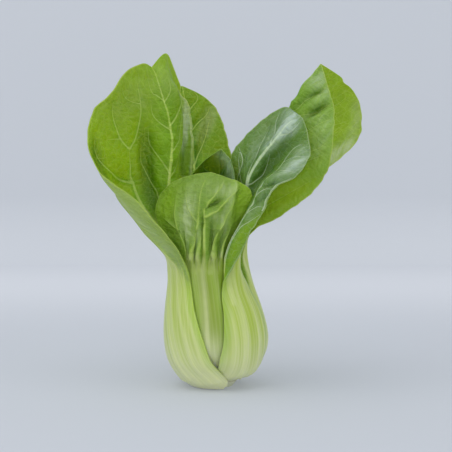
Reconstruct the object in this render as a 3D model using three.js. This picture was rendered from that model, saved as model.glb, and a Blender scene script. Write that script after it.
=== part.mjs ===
// A head of green-stemmed pak choi, standing on its cut stem. Millimetres, +Z up, with the
// origin at the middle of the cut face. The viewer's side is -Y.
//
// Each leaf is one solid: a thick clasping stalk that turns into a thin blade. Its outer
// surface is a smooth sheet through a few ribs. A rib crosses the leaf from its left margin
// over the midrib to its right margin, left and right as seen from outside the head.
import * as THREE from 'three';

const stemRadius = 13; // the stem, where the stalks sit around it
const stemHeight = 12;
const cutRadius = 9.5; // its flat cut face, where the head stands
const cutSlope = 3.5; // how far up the trimmed edge of the cut slopes
const bladeThickness = 0.9;
const stalkEdgeThickness = 1.5;

const pointsAcrossHalf = [0, 0.25, 0.5, 0.75, 1]; // where a rib is bent, from midrib to margin
const columnCrowding = 1.3; // over 1, columns crowd towards the midrib
const grownLeafGrid = { across: 14, along: 28 };
const heartLeafGrid = { across: 8, along: 14 };
const stemGrid = { around: 40, up: 8 };

const colours = { grownLeaf: 0x7f9f3f, heartLeaf: 0xb3c26f, cut: 0xd9dcb4 };

// ---------------------------------------------------------------- smooth curves and ribs

// The point at t, from 0 to 1, on a smooth curve through evenly spaced points.
function through(points, t) {
  const last = points.length - 1;
  const i = THREE.MathUtils.clamp(Math.floor(t * last), 0, last - 1);
  const f = t * last - i;
  const mirrored = (end, next) => end.clone().multiplyScalar(2).sub(next);
  const a = points[i];
  const b = points[i + 1];
  const before = i > 0 ? points[i - 1] : mirrored(a, b);
  const after = i + 2 <= last ? points[i + 2] : mirrored(b, a);
  const point = new THREE.Vector3();
  point.addScaledVector(before, -0.5 * f + f ** 2 - 0.5 * f ** 3);
  point.addScaledVector(a, 1 - 2.5 * f ** 2 + 1.5 * f ** 3);
  point.addScaledVector(b, 0.5 * f + 2 * f ** 2 - 1.5 * f ** 3);
  point.addScaledVector(after, -0.5 * f ** 2 + 0.5 * f ** 3);
  return point;
}

function polar(azimuth, radius, height) {
  const angle = THREE.MathUtils.degToRad(azimuth);
  return new THREE.Vector3(radius * Math.cos(angle), radius * Math.sin(angle), height);
}

// A rib of a stalk that clasps the head: its middle is at azimuth, and its edges are
// left and right degrees away, at radii of their own.
function stalkRib([height, azimuth, left, right, radius, leftRadius, rightRadius]) {
  const turned = (share, degrees, edge) =>
    polar(azimuth + degrees * share, edge + (radius - edge) * (1 - share ** 2), height);
  const leftSide = pointsAcrossHalf.slice(1).reverse();
  return [
    ...leftSide.map((share) => turned(share, -left, leftRadius)),
    ...pointsAcrossHalf.map((share) => turned(share, right, rightRadius)),
  ];
}

// A rib of a blade, from the margins and the midrib. Each half bows outwards by its bow and
// is bent to an S by its bend, both in millimetres.
function bladeRib([left, middle, right, bows, bends = [0, 0]], midribDirection) {
  const centre = new THREE.Vector3(...middle);
  const half = (margin, bow, bend, side) => {
    const chord = new THREE.Vector3(...margin).sub(centre);
    const outwards = chord.clone().cross(midribDirection).normalize().multiplyScalar(side);
    return pointsAcrossHalf.map((share) =>
      centre
        .clone()
        .addScaledVector(chord, share)
        .addScaledVector(outwards, bow * 4 * share * (1 - share))
        .addScaledVector(outwards, -bend * Math.sin(2 * Math.PI * share)),
    );
  };
  const leftHalf = half(left, bows[0], bends[0], -1).slice(1).reverse();
  return [...leftHalf, ...half(right, bows[1], bends[1], 1)];
}

function ribsOf({ stalk, blade, tip }) {
  const middles = [
    polar(stalk.at(-1)[1], stalk.at(-1)[4], stalk.at(-1)[0]),
    ...blade.map((rib) => new THREE.Vector3(...rib[1])),
    new THREE.Vector3(...tip),
  ];
  const blades = blade.map((rib, i) =>
    bladeRib(rib, middles[i + 2].clone().sub(middles[i]).normalize()),
  );
  const end = new THREE.Vector3(...tip);
  return [...stalk.map(stalkRib), ...blades, blades[0].map(() => end.clone())];
}

// ---------------------------------------------------------------- leaf solids

// How thick the leaf is, across (-1 to 1) and along (0 to 1): an even edge thickness, and a
// ridge on it. The stalk's broad ridge turns into the midrib, which narrows and thins to the
// tip. Past the neck the ridge stands on the outer side, and below it on the inner side.
function thicknessAt(leaf, across, along) {
  const neck = (leaf.stalk.length - 1) / (leaf.stalk.length + leaf.blade.length);
  const past = THREE.MathUtils.clamp((along - neck) / (1 - neck), 0, 1);
  const swell = Math.sin(Math.PI * Math.min(along / neck, 1) ** 0.8);
  const stalkMiddle = leaf.thickness * (0.5 + 0.5 * swell);
  const middle = stalkMiddle * (1 - past) ** 1.5 + bladeThickness * past;
  const edge = THREE.MathUtils.lerp(stalkEdgeThickness, bladeThickness, Math.min(past * 6, 1));
  const reach = THREE.MathUtils.lerp(0.68, 0.13, Math.min(past * 3, 1) ** 0.5);
  const share = Math.exp(-((across / reach) ** 2));
  return { edge, ridge: Math.max(middle - edge, 0) * share, outwardShare: Math.min(past * 4, 1) };
}

// The outer and inner point of a leaf at a place on its sheet.
function wallAt(leaf, ribs, across, along) {
  const point = (u, v) => {
    const rails = ribs[0].map((_, rail) => through(ribs.map((rib) => rib[rail]), v));
    return through(rails, (u + 1) / 2);
  };
  const step = 0.004;
  const low = Math.min(along, 1 - 4 * step);
  const acrossDirection = point(across + step, low).sub(point(across - step, low));
  const alongDirection = point(across, low + step).sub(point(across, low - step));
  const outwards = acrossDirection.cross(alongDirection).normalize();
  const { edge, ridge, outwardShare } = thicknessAt(leaf, across, along);
  const sheet = point(across, along);
  return [
    sheet.clone().addScaledVector(outwards, ridge * outwardShare),
    sheet.clone().addScaledVector(outwards, -edge - ridge * (1 - outwardShare)),
  ];
}

// A closed solid from rows of outer and inner points, ending in a single point at the tip.
function shell(rows, tipPair) {
  const width = rows[0].length;
  const positions = [];
  const indices = [];
  rows.forEach((row) => row.forEach(([outer, inner]) => positions.push(...outer, ...inner)));
  tipPair.forEach((point) => positions.push(...point));
  const outer = (row, column) => 2 * (row * width + column);
  const inner = (row, column) => outer(row, column) + 1;
  const tipOuter = 2 * rows.length * width;
  const face = (...corners) => {
    indices.push(corners[0], corners[1], corners[2]);
    if (corners.length === 4) indices.push(corners[0], corners[2], corners[3]);
  };
  for (let row = 0; row + 1 < rows.length; row++) {
    for (let i = 0; i + 1 < width; i++) {
      face(outer(row, i), outer(row, i + 1), outer(row + 1, i + 1), outer(row + 1, i));
      face(inner(row, i), inner(row + 1, i), inner(row + 1, i + 1), inner(row, i + 1));
    }
    face(outer(row, 0), outer(row + 1, 0), inner(row + 1, 0), inner(row, 0));
    const end = width - 1;
    face(inner(row, end), inner(row + 1, end), outer(row + 1, end), outer(row, end));
  }
  const top = rows.length - 1;
  for (let i = 0; i + 1 < width; i++) {
    face(outer(0, i), inner(0, i), inner(0, i + 1), outer(0, i + 1));
    face(outer(top, i), outer(top, i + 1), tipOuter);
    face(inner(top, i + 1), inner(top, i), tipOuter + 1);
  }
  face(outer(top, 0), tipOuter, tipOuter + 1, inner(top, 0));
  face(inner(top, width - 1), tipOuter + 1, tipOuter, outer(top, width - 1));
  return new THREE.BufferGeometry()
    .setAttribute('position', new THREE.Float32BufferAttribute(positions, 3))
    .setIndex(indices);
}

// A leaf's solid. Its columns crowd towards the midrib.
function leafGeometry(leaf, grid) {
  const ribs = ribsOf(leaf);
  const columns = [];
  for (let i = 0; i <= grid.across; i++) {
    const even = (2 * i) / grid.across - 1;
    columns.push(Math.sign(even) * Math.abs(even) ** columnCrowding);
  }
  const rows = [];
  for (let i = 0; i < grid.along; i++) {
    const along = i / grid.along;
    rows.push(columns.map((across) => wallAt(leaf, ribs, across, along)));
  }
  return shell(rows, wallAt(leaf, ribs, 0, 1));
}

// ---------------------------------------------------------------- the leaves

// Stalk ribs: height, azimuth of the middle, degrees to the left and right edge, radius at
// the middle, at the left edge and at the right edge.
// Blade ribs: left margin, midrib, right margin, bow of each half, bend of each half.
const outerLeftLeaf = {
  thickness: 6.5,
  stalk: [
    [0.6, 220, 68, 65, 15.5, 15, 16],
    [5.5, 217, 68, 73, 21.8, 20.5, 19.5],
    [16, 208, 64, 57, 27.8, 26.5, 26.5],
    [30, 200, 61, 55, 29.8, 28, 28.3],
    [46, 193, 55, 50, 29, 27, 27.5],
    [60, 187, 50, 48, 27.3, 25.5, 25.5],
  ],
  blade: [
    [[-17.5, 20.5, 72], [-27, 1, 72], [-17.5, -23, 72.5], [3, 3]],
    [[-14.5, 24.5, 89], [-27.5, 3, 90], [-26.5, -27, 90], [2, 14]],
    [[-12, 28, 104], [-27.3, 4, 108], [-43.5, -28, 109.5], [2, 23], [2, 0]],
    [[-11.2, 31, 120], [-26, 5, 124], [-64.2, -27, 126.5], [4.2, 14], [3.6, 0]],
    [[-10, 33, 137], [-25, 5.5, 138], [-70.6, -21, 145], [4, 9], [4.5, 0]],
    [[-11.2, 33, 150], [-26.5, 6.5, 150], [-67.8, -15, 158], [1.4, 6], [5, 0]],
    [[-15, 30, 161], [-29.5, 8, 161.5], [-59.6, -10, 166.6], [-1.6, 4], [5, 0]],
    [[-23.5, 27, 173], [-32.5, 9.5, 170], [-50, -3, 178.5], [-1.5, 2], [3, 0]],
    [[-28.3, 21, 187.5], [-35, 11, 176.5], [-41, 5, 183], [0, 1]],
  ],
  tip: [-36.4, 12, 180.4],
};

const frontRightLeaf = {
  thickness: 6.5,
  stalk: [
    [4.5, 315, 40, 34, 14, 13.8, 14],
    [8.5, 314, 40, 31, 23.5, 15.3, 22.5],
    [17, 313, 39, 35, 28.5, 25, 27.5],
    [30, 312, 33, 36, 30, 27.5, 29.3],
    [44, 310, 30, 36, 27.5, 26, 26.5],
    [58, 305, 26, 34, 22.5, 22, 20],
  ],
  blade: [
    [[8.9, -26, 70], [11.5, -17.5, 71], [13, -8.5, 71], [-5, 1]],
    [[15, -28, 81.5], [13, -15.5, 84], [12.5, -5, 84], [-6, 1], [-2, 0]],
    [[20.5, -29, 92.5], [15.5, -13.5, 97], [12, -1, 97], [-4, 1], [-3, 0]],
    [[26.9, -30, 103.7], [16.3, -13, 109], [12.3, 4, 113], [-1.5, 0], [-4, 0]],
    [[33.1, -31, 116.2], [18.7, -13, 121], [8.6, 8, 130], [1, 2], [-5, 0]],
    [[45.2, -29, 123.1], [26, -11, 132.3], [14.7, 11, 139.5], [2, 2], [-4, 0]],
    [[51.7, -25, 133], [34.5, -9, 142.6], [24, 12, 148.6], [2.5, 2], [-2, 0]],
    [[51.2, -20, 141.7], [41.3, -8, 149], [32.8, 9, 155.4], [2, 1]],
    [[50, -13, 150.6], [45.3, -7.5, 151.6], [40.6, 2, 158.6], [0, 0]],
  ],
  tip: [47.3, -7, 153.8],
};

const farRightLeaf = {
  thickness: 6,
  stalk: [
    [3, 18, 26, 34, 14.5, 14, 14],
    [8, 18, 31, 39, 22, 16.5, 20],
    [17, 18, 44, 46, 28.8, 18.5, 25.5],
    [28, 17, 44, 46, 30.5, 20.5, 27],
    [42, 17, 42, 44, 27.4, 19, 24.5],
    [58, 16, 38, 42, 21.8, 15, 20],
  ],
  blade: [
    [[9.5, -4, 74], [17, 5, 77], [12, 13, 77], [1, 1]],
    [[22, -6, 89.5], [19, 7, 93], [18, 19, 92], [0, 0]],
    [[35, -11, 97.5], [23, 9, 108], [32.5, 26, 103.2], [-2, -2]],
    [[48, -13, 106.5], [28, 10, 123], [49.5, 31, 112.6], [-3, -3]],
    [[58.5, -14, 117], [33, 10.5, 138.4], [65.8, 34, 121], [-4, -4]],
    [[64, -12.5, 129], [38.3, 10.5, 151.4], [80.5, 38, 133], [-4, -4]],
    [[66, -9, 144.5], [43.8, 10, 161.6], [85.2, 36, 146], [-3, -3]],
    [[66.4, -4, 158], [50.2, 9, 169.2], [81.8, 29, 161.2], [-2, -2]],
    [[63, 1.5, 170.5], [55.2, 7.5, 176.4], [71.6, 19, 173.8], [0, 0]],
  ],
  tip: [59, 6, 182.4],
};

const backLeaf = {
  thickness: 5.5,
  stalk: [
    [2.5, 100, 44, 48, 14.5, 14, 14],
    [7, 100, 46, 49, 21, 16, 17],
    [15, 100, 48, 50, 26, 19.5, 21],
    [28, 100, 48, 48, 28, 20.5, 22.5],
    [44, 101, 46, 42, 27, 20, 22.5],
    [60, 102, 40, 31, 25, 18.5, 22],
  ],
  blade: [
    [[6, 21, 73], [-6, 25.5, 73], [-14.5, 24, 73], [1, 1]],
    [[12.5, 25, 93], [-10, 31, 93], [-27, 31, 93], [2, 2]],
    [[13, 33, 113], [-12, 36.5, 112], [-37, 38, 113], [3, 3]],
    [[8.5, 40, 131], [-13.7, 40.5, 129], [-41, 42, 132], [3, 3]],
    [[5, 43.5, 143], [-15.2, 43, 142.5], [-39, 44, 147.5], [2, 2]],
    [[1.4, 45, 152.5], [-17, 44.5, 153], [-33.5, 45, 158], [1, 1]],
    [[-6.6, 45, 161], [-18.8, 45, 162], [-27.5, 45, 163.5], [0, 0]],
  ],
  tip: [-20, 45, 167.6],
};

const frontLeaf = {
  thickness: 5.5,
  stalk: [
    [7, 265, 50, 46, 12.2, 12.2, 12],
    [14, 265, 47, 45, 17.2, 15.6, 14.2],
    [26, 264, 45, 45, 23.2, 19.6, 18.6],
    [40, 262, 42, 45, 23.2, 20, 18.6],
    [56, 257, 40, 42, 21.4, 19, 17],
  ],
  blade: [
    [[-18.5, -14, 70], [-6.5, -21, 70], [5, -17, 70], [2, 2]],
    [[-29, -15, 86], [-6.3, -23, 83], [8.5, -19, 86], [3, 2]],
    [[-34, -9, 101], [-6, -24.5, 96], [15, -19, 101], [4, 3]],
    [[-31.2, -5, 110.5], [-5.5, -24.5, 106], [20.8, -18.5, 110.3], [4, 3]],
    [[-24, -7, 117.5], [-5, -23.5, 114], [17, -16, 116.5], [3, 2]],
    [[-13, -12, 122.5], [-4, -21.5, 120], [6, -17, 121.5], [1, 1]],
  ],
  tip: [-2.5, -19, 124.3],
};

const innerLeaf = {
  thickness: 4.5,
  stalk: [
    [10, 90, 55, 55, 11, 10.5, 10.5],
    [18, 90, 50, 50, 14.5, 13, 13],
    [30, 90, 45, 45, 17.5, 15.5, 15.5],
    [46, 90, 42, 42, 17, 15.5, 15.5],
    [62, 88, 40, 40, 15.5, 14.5, 14.5],
  ],
  blade: [
    [[10.5, 1, 80], [1, 14, 80], [-12, 3.5, 80], [3, 2]],
    [[9.5, -6, 98], [1.5, 13, 98], [-14, 0, 97], [2, 4]],
    [[10.8, -8, 115], [2, 11, 114], [-16.5, -2, 114], [1, 5]],
    [[9, -4, 128.5], [2.5, 8, 125], [-10, 1, 126], [0, 3]],
  ],
  tip: [2.8, 3, 134.5],
};

// A young leaf of the heart: an upright cupped leaf that leans over the growing point.
function heartLeaf(azimuth, radius, foot, height, halfWidth) {
  const rise = height - foot;
  const rib = (share, out, half) => {
    const middle = polar(azimuth, radius * out, foot + rise * share);
    const side = polar(azimuth + 90, half * halfWidth, 0);
    const inwards = polar(azimuth, -0.45 * half * halfWidth, 0);
    const margin = (sign) => middle.clone().addScaledVector(side, sign).add(inwards).toArray();
    return [margin(-1), middle.toArray(), margin(1), [0.16 * halfWidth, 0.16 * halfWidth]];
  };
  const edge = 40;
  return {
    thickness: 2.6,
    stalk: [
      [foot, azimuth, edge, edge, 0.6 * radius, 0.58 * radius, 0.58 * radius],
      [foot + 0.2 * rise, azimuth, edge, edge, radius, 0.92 * radius, 0.92 * radius],
      [foot + 0.45 * rise, azimuth, edge, edge, radius, 0.92 * radius, 0.92 * radius],
    ],
    blade: [rib(0.62, 0.98, 0.85), rib(0.78, 0.92, 1), rib(0.9, 0.8, 0.8)],
    tip: polar(azimuth, radius * 0.55, height).toArray(),
  };
}

const heartLeaves = [
  heartLeaf(215, 10.5, 13, 104, 8),
  heartLeaf(328, 9.5, 14, 96, 7),
  heartLeaf(85, 7, 16, 84, 6),
  heartLeaf(215, 4.6, 18, 66, 4),
];

// ---------------------------------------------------------------- the cut stem

// The short stem: a flat cut face with a sloping edge below, and a rounded cone above.
function cutStem() {
  const profile = [new THREE.Vector2(0, 0), new THREE.Vector2(cutRadius, 0)];
  const firstAngle = Math.asin(cutSlope / stemHeight);
  for (let i = 0; i < stemGrid.up; i++) {
    const angle = THREE.MathUtils.lerp(firstAngle, Math.PI / 2, i / stemGrid.up);
    const height = stemHeight * Math.sin(angle);
    profile.push(new THREE.Vector2(stemRadius * Math.cos(angle), height));
  }
  profile.push(new THREE.Vector2(0, stemHeight));
  return new THREE.LatheGeometry(profile, stemGrid.around).rotateX(Math.PI / 2);
}

// ---------------------------------------------------------------- putting the head together

const head = new THREE.Group();

function addPiece(name, geometry, colour) {
  const material = new THREE.MeshStandardMaterial({ color: colour, roughness: 0.5, metalness: 0 });
  const mesh = new THREE.Mesh(geometry, material);
  mesh.name = name;
  head.add(mesh);
}

const grownLeaves = {
  outer_left_leaf: outerLeftLeaf,
  front_right_leaf: frontRightLeaf,
  far_right_leaf: farRightLeaf,
  back_leaf: backLeaf,
  front_leaf: frontLeaf,
  inner_leaf: innerLeaf,
};
for (const [name, leaf] of Object.entries(grownLeaves)) {
  addPiece(name, leafGeometry(leaf, grownLeafGrid), colours.grownLeaf);
}
heartLeaves.forEach((leaf, i) => {
  addPiece(`heart_leaf_${i + 1}`, leafGeometry(leaf, heartLeafGrid), colours.heartLeaf);
});
addPiece('cut_stem', cutStem(), colours.cut);

export default head;
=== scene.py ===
# %% [markdown]
# # A head of green pak choi
#
# This notebook dresses a head of pak choi, the green-stemmed Shanghai kind of chinese cabbage.
# It stands on its cut stem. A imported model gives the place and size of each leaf. Here every
# leaf is made again as a fine sheet with veins, quilted tissue and a waxy skin.
#
# Everything is in metres, +Z is up, and the cut face of the stem is at the origin.

import math
from types import SimpleNamespace

import bpy
import numpy as np
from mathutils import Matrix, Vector


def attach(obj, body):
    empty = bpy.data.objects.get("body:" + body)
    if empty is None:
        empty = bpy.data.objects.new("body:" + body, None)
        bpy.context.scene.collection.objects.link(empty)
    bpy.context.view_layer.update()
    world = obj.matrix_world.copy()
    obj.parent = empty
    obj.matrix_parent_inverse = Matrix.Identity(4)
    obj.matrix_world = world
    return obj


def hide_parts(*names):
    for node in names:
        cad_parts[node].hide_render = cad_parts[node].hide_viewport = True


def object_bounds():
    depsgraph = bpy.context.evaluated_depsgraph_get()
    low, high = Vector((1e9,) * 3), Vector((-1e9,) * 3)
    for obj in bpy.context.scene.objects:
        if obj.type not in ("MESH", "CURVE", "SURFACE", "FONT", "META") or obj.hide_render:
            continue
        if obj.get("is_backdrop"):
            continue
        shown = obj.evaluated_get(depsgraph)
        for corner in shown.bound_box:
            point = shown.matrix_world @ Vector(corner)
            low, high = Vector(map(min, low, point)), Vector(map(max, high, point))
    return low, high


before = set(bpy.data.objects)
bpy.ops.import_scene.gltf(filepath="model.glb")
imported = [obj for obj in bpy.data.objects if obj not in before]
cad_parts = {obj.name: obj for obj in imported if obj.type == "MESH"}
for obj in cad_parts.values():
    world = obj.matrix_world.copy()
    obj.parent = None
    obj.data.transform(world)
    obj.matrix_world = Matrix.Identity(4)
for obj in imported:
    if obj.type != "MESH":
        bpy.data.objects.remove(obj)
CAD_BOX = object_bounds()
HEIGHT = CAD_BOX[1][2]
print(f"{len(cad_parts)} pieces, {HEIGHT * 1000:.0f} mm tall")

# %% [markdown]
# ## The camera
#
# A camera needs a place, a direction and an angle of view. It stands a little above the head
# and looks slightly down, from about a metre away, as one looks at something on a table.
# A long lens from further away keeps near and far leaves at nearly the same scale.

# %% Set up the camera
VIEW_DISTANCE = 1.1
VIEW_ELEVATION = math.radians(8)
VIEW_ANGLE = math.radians(13.24)
LOOK_AT = Vector((0.00565, 0, 0.0913))


def add_object(name, data):
    """A new object in the scene that shows the given data."""
    made = bpy.data.objects.new(name, data)
    bpy.context.scene.collection.objects.link(made)
    return made


def make_camera():
    camera = add_object("camera", bpy.data.cameras.new("camera"))
    back = Vector((0, -math.cos(VIEW_ELEVATION), math.sin(VIEW_ELEVATION)))
    camera.location = LOOK_AT + back * VIEW_DISTANCE
    camera.rotation_euler = (math.pi / 2 - VIEW_ELEVATION, 0, 0)
    camera.data.angle = VIEW_ANGLE
    bpy.context.scene.camera = camera


make_camera()
print(f"the camera stands {VIEW_DISTANCE} m from the head")

# %% [markdown]
# ## Arithmetic with nodes
#
# Both materials and Geometry Nodes work things out with nodes. Placing each node by hand hides
# the sum that is meant. So a small class stands for an output socket, and its operators add
# the Math nodes. A sum of node values then reads as a Python expression does.


# %% A socket that can be used in a sum
class Wire:
    """An output socket of a node tree. Each operation on it adds a Math node."""

    def __init__(self, tree, socket):
        self.tree = tree
        self.socket = socket

    def math(self, operation, *others):
        values = dict(enumerate((self, *others)))
        return self.tree.node("ShaderNodeMath", {"operation": operation}, values)

    def turned_math(self, operation, other):
        return self.tree.node("ShaderNodeMath", {"operation": operation}, {0: other, 1: self})

    def __add__(self, other):
        return self.math("ADD", other)

    def __sub__(self, other):
        return self.math("SUBTRACT", other)

    def __mul__(self, other):
        return self.math("MULTIPLY", other)

    def __truediv__(self, other):
        return self.math("DIVIDE", other)

    def __rsub__(self, other):
        return self.turned_math("SUBTRACT", other)

    def __rtruediv__(self, other):
        return self.turned_math("DIVIDE", other)

    __radd__ = __add__
    __rmul__ = __mul__

    def at_most(self, other):
        return self.math("MINIMUM", other)


class Tree:
    """A node tree, of a material or of Geometry Nodes."""

    def __init__(self, node_tree):
        self.nodes = node_tree.nodes
        self.links = node_tree.links

    def node(self, kind, settings=None, values=None, output=0):
        """Adds a node of that kind. Its settings come first, then the values or links of its sockets."""
        made = self.nodes.new(kind)
        for name, value in (settings or {}).items():
            setattr(made, name, value)
        for entry, value in (values or {}).items():
            if isinstance(value, Wire):
                self.links.new(value.socket, made.inputs[entry])
            else:
                made.inputs[entry].default_value = value
        return Wire(self, made.outputs[output])

    def vector_math(self, operation, *vectors, output=0):
        values = dict(enumerate(vectors))
        return self.node("ShaderNodeVectorMath", {"operation": operation}, values, output)

    def step(self, value, low, high):
        """0 below low, 1 above high, and a smooth rise between them."""
        values = {"Value": value, "From Min": low, "From Max": high}
        return self.node("ShaderNodeMapRange", {"interpolation_type": "SMOOTHSTEP"}, values)

    def hump(self, distance, reach):
        """1 at no distance, falling smoothly to nearly 0 at twice the reach."""
        share = distance / reach
        return 1 / (share * share).math("EXPONENT")


print("node arithmetic is ready")

# %% [markdown]
# ## The sheet of a leaf
#
# A leaf is a sheet that bends both ways. It could be sculpted, or a flat grid could be bent by
# modifiers. Here it is drawn as a boat is: a few ribs cross the leaf from its left margin over
# the midrib to its right margin, and a smooth surface runs through them. Ribs are easy to
# place, and the imported model was drawn from the same ones, so both agree.
#
# Left and right are as seen from outside the head. Sizes in the ribs are millimetres.

# %% Smooth curves and ribs
MM = 0.001
BEND_POINTS = np.array([0, 0.25, 0.5, 0.75, 1])  # where a rib is bent, from midrib to margin


def smooth(points, places):
    """Points on a smooth curve through evenly spaced points, at places from 0 to 1."""
    points = np.asarray(points, float)
    last = len(points) - 1
    position = np.asarray(places, float) * last
    i = np.clip(np.floor(position).astype(int), 0, last - 1)
    f = (position - i).reshape((-1,) + (1,) * (points.ndim - 1))
    before_first = 2 * points[:1] - points[1:2]
    after_last = 2 * points[-1:] - points[-2:-1]
    padded = np.concatenate([before_first, points, after_last])
    return (
        padded[i] * (-0.5 * f + f**2 - 0.5 * f**3)
        + padded[i + 1] * (1 - 2.5 * f**2 + 1.5 * f**3)
        + padded[i + 2] * (0.5 * f + 2 * f**2 - 1.5 * f**3)
        + padded[i + 3] * (-0.5 * f**2 + 0.5 * f**3)
    )


def polar(azimuth, radius, height):
    angle = np.radians(azimuth)
    return np.stack(np.broadcast_arrays(radius * np.cos(angle), radius * np.sin(angle), height), -1)


def stalk_rib(height, azimuth, left, right, radius, left_radius, right_radius):
    """A rib that clasps the head: left and right are its edges' angles from the azimuth."""

    def half(degrees, edge):
        return polar(azimuth + degrees * BEND_POINTS, edge + (radius - edge) * (1 - BEND_POINTS**2), height)

    return np.concatenate([half(-left, left_radius)[:0:-1], half(right, right_radius)])


def blade_rib(direction, left, middle, right, bows, bends=(0, 0)):
    """A rib of the blade. Each half bows outwards by its bow, and is bent to an S by its bend."""

    def half(margin, bow, bend, side):
        chord = np.subtract(margin, middle)
        outwards = np.cross(chord, direction) * side
        outwards = outwards / np.linalg.norm(outwards)
        shares = BEND_POINTS[:, None]
        push = bow * 4 * shares * (1 - shares) - bend * np.sin(2 * np.pi * shares)
        return middle + chord * shares + outwards * push

    return np.concatenate([half(left, bows[0], bends[0], -1)[:0:-1], half(right, bows[1], bends[1], 1)])


def leaf_ribs(leaf):
    stalk, blade, tip = leaf["stalk"], leaf["blade"], np.array(leaf["tip"], float)
    height, azimuth, radius = stalk[-1][0], stalk[-1][1], stalk[-1][4]
    middles = [polar(azimuth, radius, height), *(np.array(rib[1], float) for rib in blade), tip]
    ribs = [stalk_rib(*rib) for rib in stalk]
    for i, rib in enumerate(blade):
        direction = middles[i + 2] - middles[i]
        ribs.append(blade_rib(direction / np.linalg.norm(direction), *rib))
    ribs.append(np.tile(tip, (len(ribs[0]), 1)))
    return np.array(ribs)


# %% [markdown]
# ## From the sheet to a leaf with a thickness
#
# A stalk is thick in its middle and thin at its edges. Past the neck it narrows to the midrib,
# and the blade beside it is as thin as paper. Solidify gives one thickness all over, so the
# outer and inner faces are worked out here, point by point, and joined along the margin.
#
# Each point also keeps what the later steps need to know: how far it is across and along the
# leaf, how far from the margin, whether it is stalk or blade, and which face it is on.

# %% The grid of a leaf and its distances
TIP_CUT = 0.003  # the share of the leaf's length left off at the tip, where the ribs meet
DETAIL = 1.0


def leaf_grid(leaf):
    """Across and along for each column and row, with the rows down to the foot and up to the tip."""
    columns, rows = (round(count * DETAIL) for count in leaf["grid"])
    across = np.linspace(-1, 1, 2 * (columns // 2) + 1)
    along = np.linspace(0, 1 - TIP_CUT, rows)
    return across, along


def surface(leaf, across, along):
    rows = smooth(leaf_ribs(leaf), along)
    return smooth(rows.swapaxes(0, 1), (across + 1) / 2).swapaxes(0, 1)


def outward_normals(sheet):
    along_step, across_step = np.gradient(sheet, axis=(0, 1))
    normals = np.cross(across_step, along_step)
    return normals / np.linalg.norm(normals, axis=2, keepdims=True)


def leaf_distances(sheet):
    """Millimetres across from the midrib, along from the foot, and in from the margin."""
    middle = sheet.shape[1] // 2
    steps = np.linalg.norm(np.diff(sheet, axis=1), axis=2)
    across = np.concatenate([np.zeros((len(sheet), 1)), np.cumsum(steps, axis=1)], axis=1)
    across = across - across[:, middle : middle + 1]
    rises = np.linalg.norm(np.diff(sheet[:, middle], axis=0), axis=1)
    along = np.concatenate([[0], np.cumsum(rises)])[:, None] + 0 * across
    left, right = across - across[:, :1], across[:, -1:] - across
    edge = np.minimum(np.minimum(left, right), along[-1:] - along)
    return across, along, edge


# %% How thick the leaf is
BLADE_THICKNESS = 0.45
STALK_EDGE_THICKNESS = 1.5
STALK_RIDGE, MIDRIB_RIDGE = 0.68, 0.13  # how far across the thick middle reaches, below and past the neck


def wall(leaf, across, along):
    """How far the outer face stands out of the sheet, and the inner face lies behind it."""
    neck = (len(leaf["stalk"]) - 1) / (len(leaf["stalk"]) + len(leaf["blade"]))
    past = np.clip((along - neck) / (1 - neck), 0, 1)
    swell = np.sin(np.pi * np.minimum(along / neck, 1) ** 0.8)
    middle = leaf["thickness"] * (0.5 + 0.5 * swell) * (1 - past) ** 1.5 + BLADE_THICKNESS * past
    thin = np.minimum(past * 6, 1)  # a sixth of the way past the neck, the edge is as thin as the blade
    edge = STALK_EDGE_THICKNESS * (1 - thin) + BLADE_THICKNESS * thin
    narrowed = np.minimum(past * 3, 1) ** 0.5  # after a third of it, the middle is only the midrib
    reach = STALK_RIDGE * (1 - narrowed) + MIDRIB_RIDGE * narrowed
    ridge = np.maximum(middle - edge, 0) * np.exp(-((across / reach) ** 2))
    outward_share = np.minimum(past * 4, 1)  # after a quarter, it stands out on the outer face alone
    return ridge * outward_share, edge + ridge * (1 - outward_share)


# %% Read a grid, and brush over it
def between(low, high, value):
    """0 below low, 1 above high, and a smooth rise between them."""
    share = np.clip((value - low) / (high - low), 0, 1)
    return share * share * (3 - 2 * share)


def on_grid(values, across, along):
    """What a grid of values holds at given places across and along the leaf."""
    rows, columns = values.shape[:2]
    row = np.clip(np.asarray(along) / (1 - TIP_CUT), 0, 1) * (rows - 1)
    column = (np.asarray(across) + 1) / 2 * (columns - 1)
    r = np.clip(row.astype(int), 0, rows - 2)
    c = np.clip(column.astype(int), 0, columns - 2)
    fr, fc = (row - r)[:, None], (column - c)[:, None]
    values = values.reshape(rows, columns, -1)
    low = values[r, c] * (1 - fc) + values[r, c + 1] * fc
    high = values[r + 1, c] * (1 - fc) + values[r + 1, c + 1] * fc
    return low * (1 - fr) + high * fr


VEIN_STEPS = 14  # points of a vein between two of its corners
BRUSH_STEPS = 40  # spots of a brush stroke between two of its corners
BRUSH_ENDS, BRUSH_FADE = (0.08, 0.92), 0.7  # a stroke starts and ends softly


def drawn_path(corners, steps):
    """A smooth path through (across, along) corners, with that many steps between two of them."""
    return smooth(corners, np.linspace(0, 1, steps * (len(corners) - 1) + 1))


def brushed(place, strokes):
    """A field over the leaf that rises along soft strokes: (strength, reach in mm, corners)."""
    field = np.zeros(place.shape[:2])
    for strength, reach, corners in strokes:
        path = drawn_path(corners, BRUSH_STEPS)
        spots = on_grid(place, path[:, 0], path[:, 1])
        fade = np.sin(np.pi * np.linspace(*BRUSH_ENDS, len(spots))) ** BRUSH_FADE
        nearest = np.zeros(field.shape)
        for spot, share in zip(spots, fade):
            distance = np.linalg.norm(place - spot, axis=2)
            nearest = np.maximum(nearest, share * np.exp(-((distance / reach) ** 2)))
        field += strength * nearest
    return field


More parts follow.
